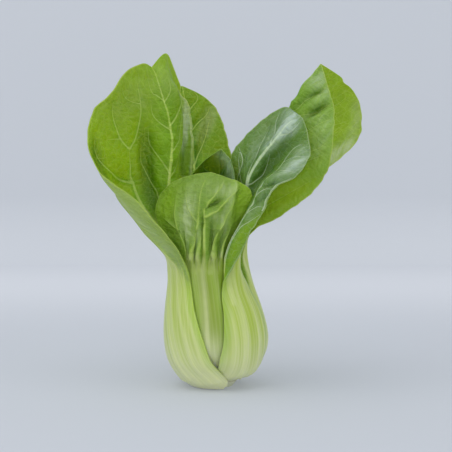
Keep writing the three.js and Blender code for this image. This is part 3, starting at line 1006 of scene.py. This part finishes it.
# %% Front right leaf
FRONT_RIGHT_LEAF = {
    "thickness": 6.5,
    "grid": (140, 240),
    "midrib": 1.85,
    "blade_from": (0.46, 0.37),
    "stalk": [
        (4.5, 315, 40, 34, 14, 13.8, 14),
        (8.5, 314, 40, 31, 23.5, 15.3, 22.5),
        (17, 313, 39, 35, 28.5, 25, 27.5),
        (30, 312, 33, 36, 30, 27.5, 29.3),
        (44, 310, 30, 36, 27.5, 26, 26.5),
        (58, 305, 26, 34, 22.5, 22, 20),
    ],
    "blade": [
        ((8.9, -26, 70), (11.5, -17.5, 71), (13, -8.5, 71), (-5, 1)),
        ((15, -28, 81.5), (13, -15.5, 84), (12.5, -5, 84), (-6, 1), (-2, 0)),
        ((20.5, -29, 92.5), (15.5, -13.5, 97), (12, -1, 97), (-4, 1), (-3, 0)),
        ((26.9, -30, 103.7), (16.3, -13, 109), (12.3, 4, 113), (-1.5, 0), (-4, 0)),
        ((33.1, -31, 116.2), (18.7, -13, 121), (8.6, 8, 130), (1, 2), (-5, 0)),
        ((45.2, -29, 123.1), (26, -11, 132.3), (14.7, 11, 139.5), (2, 2), (-4, 0)),
        ((51.7, -25, 133), (34.5, -9, 142.6), (24, 12, 148.6), (2.5, 2), (-2, 0)),
        ((51.2, -20, 141.7), (41.3, -8, 149), (32.8, 9, 155.4), (2, 1)),
        ((50, -13, 150.6), (45.3, -7.5, 151.6), (40.6, 2, 158.6), (0, 0)),
    ],
    "tip": (47.3, -7, 153.8),
    "midrib_end": 0.9,
    "notches": [(1, 0.96, 2.4, 1.0)],
    "veins": [
        (0.45, [(0.02, 0.63), (0.07, 0.68), (0.22, 0.72), (0.42, 0.76), (0.62, 0.81)]),
        (0.4, [(0.72, 0.62), (0.56, 0.655), (0.55, 0.675), (0.66, 0.69), (0.82, 0.7), (0.95, 0.71)]),
        (0.45, [(0, 0.64), (-0.08, 0.65), (-0.14, 0.67), (-0.17, 0.69), (-0.14, 0.72), (-0.08, 0.75)]),
        (0.75, [(-0.5, 0.3), (-0.62, 0.42), (-0.67, 0.5), (-0.7, 0.56), (-0.71, 0.62),
               (-0.71, 0.67), (-0.54, 0.71)]),
        (0.7, [(-0.66, 0.68), (-0.54, 0.71), (-0.46, 0.74), (-0.42, 0.77), (-0.46, 0.8), (-0.64, 0.83)]),
        (0.3, [(-0.7, 0.36), (-0.71, 0.45), (-0.73, 0.5), (-0.78, 0.535), (-0.89, 0.565), (-0.97, 0.59)]),
        (0.4, [(-0.96, 0.6), (-0.97, 0.64), (-0.97, 0.68), (-0.97, 0.72)]),
        (0.17, [(-0.71, 0.575), (-0.78, 0.592), (-0.86, 0.606), (-0.95, 0.61)]),
        (0.17, [(-0.71, 0.625), (-0.79, 0.642), (-0.87, 0.654), (-0.95, 0.66)]),
        (0.17, [(-0.62, 0.7), (-0.7, 0.716), (-0.8, 0.728), (-0.9, 0.735)]),
        (0.25, [(-0.46, 0.75), (-0.6, 0.768), (-0.74, 0.778), (-0.88, 0.79)]),
        (0.35, [(-0.03, 0.81), (-0.1, 0.83), (-0.19, 0.87), (-0.37, 0.92)]),
        (0.7, [(-0.2, 0.08), (-0.2, 0.25), (-0.15, 0.4), (-0.1, 0.5)]),
        (0.7, [(0.35, 0.05), (0.34, 0.2), (0.32, 0.35), (0.4, 0.5), (0.6, 0.6)]),
        (0.6, [(0.68, 0.06), (0.68, 0.2), (0.66, 0.36), (0.8, 0.5)]),
        *side_veins(1, (0.58, 0.77)),
    ],
    "folds": [
        (2.5, 4, [(-0.1, 0.6), (-0.2, 0.68), (-0.2, 0.76), (-0.25, 0.82)]),
        (1.3, 1.4, [(-0.76, 0.605), (-0.86, 0.62), (-0.94, 0.635)]),
        (1.3, 1.4, [(-0.76, 0.655), (-0.86, 0.665), (-0.94, 0.68)]),
        (-1.0, 2.5, [(-0.02, 0.82), (-0.12, 0.86), (-0.28, 0.9)]),
    ],
    # brushed paint: waxy bloom with painted sheen, then painted light and painted shade
    "bloom": [
        (0.8, 6, [(-0.86, 0.7), (-0.82, 0.74), (-0.8, 0.78), (-0.74, 0.82)]),
        (0.9, 4.5, [(0.04, 0.76), (0.06, 0.82), (0.14, 0.88), (0.3, 0.93)]),
        (0.7, 5, [(0.15, 0.9), (0.35, 0.93), (0.6, 0.92)]),
        (0.25, 9, [(0.35, 0.68), (0.4, 0.76), (0.55, 0.85)]),
        (0.8, 3, [(-0.03, 0.81), (-0.12, 0.85), (-0.3, 0.9)]),
        (0.25, 2.5, [(-0.8, 0.56), (-0.87, 0.6), (-0.9, 0.65)]),
    ],
    "bright": [(1.2, 3.5, [(-0.84, 0.38), (-0.87, 0.45), (-0.9, 0.51), (-0.95, 0.56), (-0.98, 0.6)])],
    "painted_shade": [
        (0.5, 9, [(0.3, 0.68), (0.4, 0.76), (0.5, 0.82)]),
        (0.3, 4, [(-0.08, 0.62), (-0.2, 0.7), (-0.3, 0.78), (-0.4, 0.86)]),
    ],
}
make_leaf("front_right_leaf", FRONT_RIGHT_LEAF, DARK_TISSUE, 1.7)

# %% [markdown]
# ## The far right leaf
#
# Its blade droops over to the right like a tent. The near half shows its quilted inner face,
# the far half its bright outer face.

# %% Far right leaf
FAR_RIGHT_LEAF = {
    "thickness": 6,
    "grid": (150, 260),
    "midrib": 1.7,
    "blade_from": (0.47, 0.26),
    "stalk": [
        (3, 18, 26, 34, 14.5, 14, 14),
        (8, 18, 31, 39, 22, 16.5, 20),
        (17, 18, 44, 46, 28.8, 18.5, 25.5),
        (28, 17, 44, 46, 30.5, 20.5, 27),
        (42, 17, 42, 44, 27.4, 19, 24.5),
        (58, 16, 38, 42, 21.8, 15, 20),
    ],
    "blade": [
        ((9.5, -4, 74), (17, 5, 77), (12, 13, 77), (1, 1)),
        ((22, -6, 89.5), (19, 7, 93), (18, 19, 92), (0, 0)),
        ((35, -11, 97.5), (23, 9, 108), (32.5, 26, 103.2), (-2, -2)),
        ((48, -13, 106.5), (28, 10, 123), (49.5, 31, 112.6), (-3, -3)),
        ((58.5, -14, 117), (33, 10.5, 138.4), (65.8, 34, 121), (-4, -4)),
        ((64, -12.5, 129), (38.3, 10.5, 151.4), (80.5, 38, 133), (-4, -4)),
        ((66, -9, 144.5), (44.2, 10, 161), (85.2, 36, 146), (-3, -3)),
        ((66.4, -4, 158), (49.8, 9, 169.2), (81.8, 29, 161.2), (-2, -2)),
        ((63, 1.5, 170.5), (56, 7.5, 176), (71.6, 19, 173.8), (0, 0)),
    ],
    "tip": (59, 6, 182.4),
    "veins": [
        (0.22, [(0, 0.77), (-0.16, 0.78), (-0.25, 0.83), (-0.42, 0.87), (-0.76, 0.92)]),
        (0.25, [(0, 0.71), (-0.2, 0.76), (-0.35, 0.79), (-0.55, 0.82), (-0.94, 0.88)]),
        (0.28, [(0, 0.66), (-0.3, 0.71), (-0.66, 0.79), (-0.9, 0.83)]),
        (0.35, [(0, 0.6), (-0.35, 0.66), (-0.68, 0.72), (-0.9, 0.77)]),
        (0.3, [(0, 0.54), (-0.3, 0.6), (-0.55, 0.66), (-0.72, 0.7), (-0.88, 0.74)]),
        *on_both_sides(0.6, [(0.4, 0.05), (0.4, 0.2), (0.4, 0.35), (0.45, 0.48), (0.7, 0.58),
               (0.88, 0.66)]),
        (0.5, [(0.72, 0.07), (0.72, 0.2), (0.72, 0.35), (0.8, 0.48)]),
        *side_veins(1, (0.54, 0.61, 0.68, 0.75, 0.82), half_width=0.28),
    ],
    "folds": [
        (2.0, 2.0, [(-0.3, 0.85), (-0.38, 0.87), (-0.48, 0.885), (-0.6, 0.9)]),
        (2.4, 2.2, [(-0.42, 0.79), (-0.5, 0.81), (-0.63, 0.84), (-0.78, 0.862)]),
        (1.5, 3, [(0.7, 0.68), (0.82, 0.72), (0.9, 0.75), (0.98, 0.77)]),
    ],
    "notches": [(1, 0.915, 2.2, 1.6), (1, 0.8, 1.0, 2.5), (-1, 0.84, 0.8, 1.2), (-1, 0.9, 0.8, 1.2)],
    # brushed paint: waxy bloom with painted sheen, then painted light and painted shade
    "bloom": [
        (0.9, 4, [(0.86, 0.66), (0.93, 0.7), (0.96, 0.75)]),
        (0.4, 3, [(0.86, 0.76), (0.93, 0.8), (0.95, 0.86)]),
        (0.6, 6, [(-0.15, 0.91), (-0.4, 0.93), (-0.7, 0.95)]),
        (0.4, 4, [(-0.5, 0.86), (-0.7, 0.89), (-0.9, 0.91)]),
        (0.3, 8, [(-0.5, 0.8), (-0.78, 0.8), (-0.78, 0.72)]),
    ],
    "bright": [(0.9, 8, [(-0.5, 0.54), (-0.75, 0.6), (-0.9, 0.64)])],
    "painted_shade": [
        (0.22, 14, [(0.3, 0.72), (0.5, 0.8), (0.6, 0.9)]),
        (0.8, 2.4, [(-0.1, 0.77), (-0.18, 0.81), (-0.27, 0.84), (-0.38, 0.87), (-0.6, 0.9)]),
        (0.8, 2.6, [(-0.3, 0.76), (-0.38, 0.78), (-0.5, 0.81), (-0.63, 0.84), (-0.8, 0.87)]),
        (0.25, 8, [(-0.35, 0.68), (-0.6, 0.72), (-0.7, 0.78)]),
    ],
}
make_leaf("far_right_leaf", FAR_RIGHT_LEAF, SUNLIT_TISSUE, 3.1)

# %% [markdown]
# ## The back leaf
#
# It rises behind the others and shows its bright inner face over them.

# %% Back leaf
BACK_LEAF = {
    "thickness": 5.5,
    "grid": (120, 220),
    "midrib": 1.6,
    "blade_from": (0.5, 0.42),
    "stalk": [
        (2.5, 100, 44, 48, 14.5, 14, 14),
        (7, 100, 46, 49, 21, 16, 17),
        (15, 100, 48, 50, 26, 19.5, 21),
        (28, 100, 48, 48, 28, 20.5, 22.5),
        (44, 101, 46, 42, 27, 20, 22.5),
        (60, 102, 40, 31, 25, 18.5, 22),
    ],
    "blade": [
        ((6, 21, 73), (-6, 25.5, 73), (-14.5, 24, 73), (1, 1)),
        ((12.5, 25, 93), (-10, 31, 93), (-27, 31, 93), (2, 2)),
        ((13, 33, 113), (-12, 36.5, 112), (-37, 38, 113), (3, 3)),
        ((8.5, 40, 131), (-13.7, 40.5, 129), (-41, 42, 132), (3, 3)),
        ((5, 43.5, 143), (-15.2, 43, 142.5), (-39, 44, 147.5), (2, 2)),
        ((1.4, 45, 152.5), (-17, 44.5, 153), (-33.5, 45, 158), (1, 1)),
        ((-6.6, 45, 161), (-18.8, 45, 162), (-27.5, 45, 163.5), (0, 0)),
    ],
    "tip": (-20, 45, 167.6),
    "veins": [
        (0.45, [(0, 0.655), (-0.1, 0.68), (-0.22, 0.7), (-0.41, 0.74), (-0.6, 0.8)]),
        *side_veins(-1, (0.55, 0.76, 0.84)),
        *side_veins(1, (0.56, 0.65, 0.74, 0.83)),
        *on_both_sides(0.6, [(0.4, 0.05), (0.4, 0.2), (0.4, 0.38), (0.5, 0.52), (0.8, 0.66)]),
        *on_both_sides(0.5, [(0.72, 0.07), (0.72, 0.2), (0.72, 0.38), (0.85, 0.5)]),
    ],
    "folds": [(2.0, 5, [(-0.1, 0.69), (-0.3, 0.74), (-0.55, 0.8), (-0.8, 0.86)])],
    # brushed paint: waxy bloom with painted sheen, then painted light and painted shade
    "bloom": [(1.2, 3.2, [(-0.2, 0.73), (-0.42, 0.765), (-0.6, 0.81), (-0.78, 0.85)])],
    "bright": [(0.8, 9, [(0.1, 0.85), (-0.2, 0.86), (-0.6, 0.92)])],
    "painted_shade": [(0.35, 8, [(0.1, 0.9), (-0.1, 0.84), (-0.3, 0.82)])],
}
make_leaf("back_leaf", BACK_LEAF, BACK_TISSUE, 4.9)

# %% [markdown]
# ## The front leaf
#
# A short leaf in front of the heart, seen from outside. Its ribs stand up like cords and run
# together into the stalk, and between them the tissue is drawn in to deep grooves.

# %% Front leaf
FRONT_LEAF = {
    "thickness": 5.5,
    "grid": (150, 230),
    "midrib": 1.5,
    "midrib_end": 0.69,
    "blade_from": (0.48, 0.48),
    "stalk": [
        (7, 265, 50, 46, 12.2, 12.2, 12),
        (14, 265, 47, 45, 17.2, 15.6, 14.2),
        (26, 264, 45, 45, 23.2, 19.6, 18.6),
        (40, 262, 42, 45, 23.2, 20, 18.6),
        (56, 257, 40, 42, 21.4, 19, 17),
    ],
    "blade": [
        ((-18.5, -14, 70), (-6.5, -21, 70), (5, -17, 70), (2, 2)),
        ((-29, -15, 86), (-6.3, -23, 83), (9.3, -19.3, 86), (3, 2)),
        ((-34, -9, 101), (-6, -24.5, 96), (16, -19.4, 101), (4, 3)),
        ((-31.2, -5, 110.5), (-5.5, -24.5, 106), (20.8, -18.5, 110.3), (4, 3)),
        ((-24, -7, 117.5), (-5, -23.5, 114), (17, -16, 116.5), (3, 2)),
        ((-13, -12, 122.5), (-4, -21.5, 120), (6, -17, 121.5), (1, 1)),
    ],
    "tip": (-2.5, -19, 124.3),
    "veins": [
        (0.9, [(-0.62, 0.1), (-0.62, 0.3), (-0.62, 0.42), (-0.52, 0.5), (-0.47, 0.55), (-0.5, 0.59)]),
        (0.45, [(-0.5, 0.59), (-0.52, 0.64), (-0.53, 0.7), (-0.58, 0.76)]),
        (0.35, [(-0.5, 0.595), (-0.66, 0.61), (-0.82, 0.625)]),
        (1.0, [(-0.42, 0.08), (-0.42, 0.3), (-0.42, 0.44), (-0.32, 0.52), (-0.22, 0.56), (-0.14, 0.61)]),
        (0.55, [(-0.14, 0.61), (-0.11, 0.66), (-0.11, 0.77), (-0.12, 0.86), (-0.18, 0.94)]),
        (0.35, [(-0.13, 0.64), (-0.19, 0.66), (-0.27, 0.69), (-0.35, 0.74), (-0.46, 0.81)]),
        (0.6, [(-0.18, 0.1), (-0.2, 0.4), (-0.18, 0.49), (-0.12, 0.55), (-0.07, 0.61)]),
        (0.7, [(0.02, 0.67), (0.1, 0.68), (0.24, 0.69), (0.35, 0.72), (0.44, 0.74),
               (0.53, 0.76), (0.8, 0.81)]),
        (0.6, [(0.02, 0.67), (-0.02, 0.7), (0.03, 0.74), (0.14, 0.77), (0.31, 0.82), (0.65, 0.89)]),
        (0.9, [(0.45, 0.08), (0.44, 0.3), (0.42, 0.46), (0.37, 0.52), (0.34, 0.57), (0.38, 0.6)]),
        (0.5, [(0.38, 0.6), (0.46, 0.625), (0.5, 0.67), (0.56, 0.72)]),
        (0.3, [(-0.5, 0.44), (-0.43, 0.52), (-0.38, 0.57), (-0.37, 0.61)]),
        (0.3, [(-0.3, 0.44), (-0.22, 0.52), (-0.16, 0.57), (-0.14, 0.6)]),
        (0.3, [(0.2, 0.44), (0.2, 0.52), (0.17, 0.58), (0.14, 0.62)]),
        (0.3, [(0.3, 0.44), (0.29, 0.52), (0.26, 0.57), (0.24, 0.6)]),
        (0.3, [(0.58, 0.44), (0.54, 0.52), (0.52, 0.57), (0.52, 0.6)]),
        (0.7, [(0.75, 0.1), (0.76, 0.3), (0.76, 0.45), (0.69, 0.51), (0.67, 0.55),
               (0.71, 0.58), (0.68, 0.62)]),
    ],
    "folds": [
        (2.4, 14, [(0.1, 0.1), (0, 0.25), (0, 0.46)]),
        (-1.7, 4, [(0.7, 0.3), (0.66, 0.35), (0.7, 0.4)]),
        (0.9, 4, [(-0.52, 0.25), (-0.56, 0.34), (-0.6, 0.43)]),
        (-2.0, 1.1, [(0.0, 0.716), (0.12, 0.732), (0.32, 0.748)]),
        (-2.2, 1.9, [(0.19, 0.46), (0.18, 0.53), (0.16, 0.59), (0.13, 0.65)]),
        (-1.8, 1.4, [(-0.3, 0.46), (-0.22, 0.53), (-0.14, 0.59)]),
        (-1.8, 1.3, [(-0.09, 0.46), (-0.06, 0.54), (-0.05, 0.61), (-0.04, 0.67)]),
        (-1.8, 1.8, [(0.59, 0.46), (0.53, 0.53), (0.55, 0.61)]),
        (-1.6, 1.8, [(-0.58, 0.46), (-0.44, 0.53), (-0.36, 0.61)]),
        (-1.4, 1.2, [(0.32, 0.46), (0.3, 0.53), (0.26, 0.6)]),
        (2.4, 2.2, [(0.8, 0.84), (0.6, 0.78), (0.53, 0.7), (0.62, 0.62)]),
    ],
    # brushed paint: waxy bloom with painted sheen and stalk highlights, then painted light and painted shade
    "bloom": [
        (0.28, 1.3, [(-0.12, 0.1), (-0.06, 0.3), (-0.03, 0.5)]),
        (0.36, 9, [(0.2, 0.04), (0.1, 0.12), (0.05, 0.2)]),
        (0.8, 2.2, [(0.74, 0.83), (0.52, 0.77), (0.46, 0.71), (0.48, 0.67)]),
        (0.7, 4, [(-0.22, 0.75), (-0.26, 0.7), (-0.3, 0.65), (-0.32, 0.61), (-0.28, 0.58)]),
        (0.7, 3.5, [(0.05, 0.8), (0.34, 0.81), (0.5, 0.82), (0.62, 0.84)]),
        (0.65, 3, [(0.12, 0.67), (0.3, 0.655), (0.42, 0.63), (0.46, 0.6)]),
        (0.25, 5, [(-0.45, 0.8), (-0.28, 0.85), (-0.02, 0.88), (0.3, 0.88)]),
        (0.3, 4, [(-0.4, 0.66), (-0.3, 0.72), (-0.2, 0.78)]),
        (0.6, 0.9, [(-0.22, 0.5), (-0.16, 0.55), (-0.12, 0.6), (-0.1, 0.64)]),
        (0.6, 1.0, [(0.3, 0.49), (0.29, 0.54), (0.26, 0.58), (0.22, 0.62)]),
        (0.6, 1.0, [(0.66, 0.5), (0.64, 0.55), (0.6, 0.59), (0.56, 0.62)]),
        (0.5, 1.0, [(-0.4, 0.5), (-0.36, 0.56), (-0.35, 0.61)]),
        (0.5, 1.2, [(-0.46, 0.66), (-0.35, 0.645), (-0.24, 0.625)]),
        (0.5, 2.5, [(-0.3, 0.74), (-0.27, 0.68), (-0.24, 0.63)]),
        (0.5, 1.0, [(-0.36, 0.6), (-0.28, 0.59), (-0.22, 0.585)]),
    ],
    "bright": [
        (1.6, 7, [(0.94, 0.85), (0.9, 0.77), (0.84, 0.72), (0.8, 0.66)]),
        (1.2, 7, [(-0.84, 0.6), (-0.76, 0.68), (-0.74, 0.74)]),
        (0.5, 4, [(-0.48, 0.14), (-0.5, 0.3), (-0.5, 0.5)]),
        (0.5, 4, [(0.45, 0.14), (0.5, 0.3), (0.48, 0.5)]),
    ],
    "painted_shade": [(0.25, 7, [(-0.92, 0.78), (-0.86, 0.7), (-0.74, 0.62), (-0.64, 0.58)])],
    "relief": {"Vein height": 0.0013, "Quilt depth": 0.0012, "Stalk ridges": 0.0},
}
make_leaf("front_leaf", FRONT_LEAF, FRONT_TISSUE, 6.4)

# %% [markdown]
# ## The inner leaf
#
# A younger leaf behind the front one. It stands in the shade of the others, so its tissue is a
# darker shaded copy, and painted sheen lightens its margin and one patch.

# %% Inner leaf
INNER_LEAF = {
    "thickness": 4.5,
    "grid": (110, 180),
    "midrib": 1.2,
    "blade_from": (0.5, 0.45),
    "stalk": [
        (10, 90, 55, 55, 11, 10.5, 10.5),
        (18, 90, 50, 50, 14.5, 13, 13),
        (30, 90, 45, 45, 17.5, 15.5, 15.5),
        (46, 90, 42, 42, 17, 15.5, 15.5),
        (62, 88, 40, 40, 15.5, 14.5, 14.5),
    ],
    "blade": [
        ((10.5, 1, 80), (1, 14, 80), (-12, 3.5, 80), (3, 2)),
        ((9.5, -6, 98), (1.5, 13, 98), (-14, 0, 97), (2, 4)),
        ((10.8, -8, 115), (2, 11, 114), (-16.5, -2, 114), (1, 5)),
        ((9, -4, 128.5), (2.5, 8, 125), (-10, 1, 126), (0, 3)),
    ],
    "tip": (2.8, 3, 134.5),
    "veins": [
        *side_veins(-1, (0.62, 0.72, 0.82), rise=0.1),
        *side_veins(1, (0.6, 0.7, 0.8), rise=0.1),
        *on_both_sides(0.4, [(0.4, 0.05), (0.4, 0.3), (0.45, 0.5), (0.7, 0.65)]),
    ],
    # brushed paint: waxy bloom with painted sheen along the margin and on one patch
    "bloom": [
        (1.1, 5, [(-0.5, 0.99), (-0.75, 0.92), (-0.88, 0.86), (-0.9, 0.78)]),
        (1.5, 0.9, [(-0.9, 0.96), (-0.96, 0.88), (-0.97, 0.8), (-0.97, 0.72)]),
    ],
}
make_leaf("inner_leaf", INNER_LEAF, SHADED_TISSUE, 8.2)

# %% [markdown]
# ## The heart
#
# Four young leaves stand around the growing point, each inside the last. They share one rule
# for their shape, so a function makes them from an azimuth and a few sizes.


# %% Young leaves of the heart
HEART_CLASP = 40  # how far round the head a young stalk reaches to each side, in degrees
HEART_BOW, HEART_CUPPING = 0.16, 0.45  # of the half width
HEART_VEINS = (0.5, 0.62, 0.74, 0.84)  # where the side veins start along the leaf


def heart_leaf(azimuth, radius, foot, height, half_width):
    """The ribs and veins of a young leaf that stands at an azimuth, from its foot up to its height."""
    rise = height - foot
    left, right = (side_veins(side, HEART_VEINS, rise=0.1, half_width=0.25) for side in (-1, 1))

    def clasp(share, out, edge):
        place = (foot + share * rise, azimuth, HEART_CLASP, HEART_CLASP)
        return (*place, out * radius, edge * radius, edge * radius)

    def rib(share, out, half):
        middle = polar(azimuth, radius * out, foot + rise * share)
        side = polar(azimuth + 90, half * half_width, 0)
        inwards = polar(azimuth, -HEART_CUPPING * half * half_width, 0)
        bow = HEART_BOW * half_width
        return (middle - side + inwards, middle, middle + side + inwards, (bow, bow))

    return {
        "thickness": 2.6,
        "grid": (44, 80),
        "midrib": 0.7,
        "blade_from": (0.5, 0.42),
        "stalk": [clasp(0, 0.6, 0.58), clasp(0.2, 1, 0.92), clasp(0.45, 1, 0.92)],
        "blade": [rib(0.62, 0.98, 0.85), rib(0.78, 0.92, 1), rib(0.9, 0.8, 0.8)],
        "tip": polar(azimuth, radius * 0.55, height),
        "veins": left + right,
        "relief": {"Vein height": 0.0004, "Quilt depth": 0.0004, "Quilt reach": 0.0025, "Ruffle": 0.0006},
    }


# Each row: azimuth, radius, foot, height, half width.
HEART_LEAVES = [(215, 10.5, 13, 104, 8), (328, 9.5, 14, 96, 7), (85, 7, 16, 84, 6), (215, 4.6, 18, 66, 4)]
for number, sizes in enumerate(HEART_LEAVES, start=1):
    make_leaf(f"heart_leaf_{number}", heart_leaf(*sizes), HEART_TISSUE, 10.0 + number)


# %% [markdown]
# ## The cut stem
#
# The head was cut from its root, so a moist pale face shows underneath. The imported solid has
# the right shape, and only needs a material: a pale pith, a ring of darker strands, and a
# slightly browned rim.


# %% Cut stem
STRAND_RING_MM, STRAND_RING_REACH = 9, 1.4
BROWNED_RIM_MM = (11.5, 13)


def cut_stem_material():
    material, tree = bare_material("cut_stem_flesh")
    place = tree.node("ShaderNodeTexCoord", {}, {}, "Object")
    flat = tree.vector_math("MULTIPLY", place, (1, 1, 0))
    radius = tree.vector_math("LENGTH", flat, output="Value") * 1000
    fibres = noise(tree, place, 900.0, 3.0)
    ring = tree.hump(radius - STRAND_RING_MM, STRAND_RING_REACH)
    layers = [
        (fibres * 0.5, rgb(206, 212, 164)),
        (ring * 0.5 * tree.step(fibres, 0.4, 0.6), rgb(150, 168, 96)),
        (tree.step(radius, *BROWNED_RIM_MM) * 0.5, rgb(176, 160, 112)),
    ]
    flesh = layered(tree, rgb(226, 228, 196), layers)
    bump = tree.node("ShaderNodeBump", {}, {"Strength": 0.5, "Distance": MM, "Height": fibres * 0.3})
    skin = {"Base Color": flesh, "Roughness": 0.4, "Normal": bump}
    principled = tree.node("ShaderNodeBsdfPrincipled", {}, skin)
    finish_material(tree, principled)
    return material


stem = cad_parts["cut_stem"]
stem.data.materials.clear()
stem.data.materials.append(cut_stem_material())
print("the cut stem has its flesh")

# %% [markdown]
# ## The stage
#
# A pale sweep of card with soft light from above and from both sides, as in a light tent. A
# floor that curves up into a wall has no hard line behind the object. The wall is only there
# when seen from inside the tent, so the head can be looked at from behind too.


# %% The sweep of card
SWEEP_FRONT, SWEEP_BACK = -1.6, 0.47
SWEEP_HALF_WIDTH, SWEEP_TOP, SWEEP_RADIUS = 1.6, 1.6, 0.05
SWEEP_STEPS = 13
PAPER = rgb(173, 177, 183)
PAPER_GLOW = rgb(194, 199, 208)  # painted glow: the card shines by itself, which lightens the shadow under the head
GLOW_STRENGTH = 0.27
BAND_GLOW = rgb(244, 247, 255)  # a band of painted glow along the foot of the wall
BAND_PLACE, BAND_REACH = 0.34, 0.12


def one_sided_paper():
    paper, tree = bare_material("paper")
    place = tree.node("ShaderNodeTexCoord", {}, {}, "Object")
    backwards = tree.node("ShaderNodeSeparateXYZ", {}, {0: place}, "Y")
    glow = mix(tree, tree.hump(backwards - BAND_PLACE, BAND_REACH), PAPER_GLOW, BAND_GLOW)
    skin = {"Base Color": PAPER, "Roughness": 0.9}
    skin.update({"Emission Color": glow, "Emission Strength": GLOW_STRENGTH})
    card = tree.node("ShaderNodeBsdfPrincipled", {}, skin)
    clear = tree.node("ShaderNodeBsdfTransparent")
    from_behind = tree.node("ShaderNodeNewGeometry", {}, {}, "Backfacing")
    finish_material(tree, tree.node("ShaderNodeMixShader", {}, {0: from_behind, 1: card, 2: clear}))
    return paper


def make_sweep():
    turn = np.linspace(0, np.pi / 2, SWEEP_STEPS)
    back = SWEEP_BACK - SWEEP_RADIUS + SWEEP_RADIUS * np.sin(turn)
    up = SWEEP_RADIUS * (1 - np.cos(turn))
    profile = [(SWEEP_FRONT, 0), *zip(back, up), (SWEEP_BACK, SWEEP_TOP)]
    points = [(side * SWEEP_HALF_WIDTH, y, z) for y, z in profile for side in (-1, 1)]
    faces = [(2 * i, 2 * i + 1, 2 * i + 3, 2 * i + 2) for i in range(len(profile) - 1)]
    mesh = bpy.data.meshes.new("sweep")
    mesh.from_pydata(points, [], faces)
    mesh.shade_smooth()
    mesh.materials.append(one_sided_paper())
    add_object("sweep", mesh)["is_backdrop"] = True
    print(f"the wall stands {SWEEP_BACK} m behind the head")


make_sweep()

# %% Lights and world
SOFTBOXES = [  # name, place, size in metres, power in watts
    ("top_softbox", (-0.2, -0.2, 1.2), 1.1, 5.0),
    ("front_softbox", (0.1, -1.3, 0.15), 0.9, 3.5),
    ("left_softbox", (-1.0, -0.6, 0.6), 0.9, 2),
    ("right_softbox", (1.0, -0.5, 0.6), 0.9, 1.6),
]
TENT_LIGHT, TENT_STRENGTH = (0.93, 0.96, 1, 1), 0.62

for name, place, size, power in SOFTBOXES:
    light = bpy.data.lights.new(name, "AREA")
    light.size = size
    light.energy = power
    softbox = add_object(name, light)
    softbox.location = place
    softbox.rotation_euler = (LOOK_AT - Vector(place)).to_track_quat("-Z", "Y").to_euler()
world = bpy.data.worlds.new("tent")
world.use_nodes = True
background = world.node_tree.nodes["Background"]
background.inputs["Color"].default_value = TENT_LIGHT
background.inputs["Strength"].default_value = TENT_STRENGTH
bpy.context.scene.world = world
bpy.context.scene.view_settings.view_transform = "Standard"
print(f"{len(SOFTBOXES)} softboxes")

# %% [markdown]
# ## The size
#
# The visual model should fill the same box as the imported solids, so both boxes are put
# side by side.

# %% Finish
sizes = {"cad": [list(corner) for corner in CAD_BOX], "visual": [list(corner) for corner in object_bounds()]}
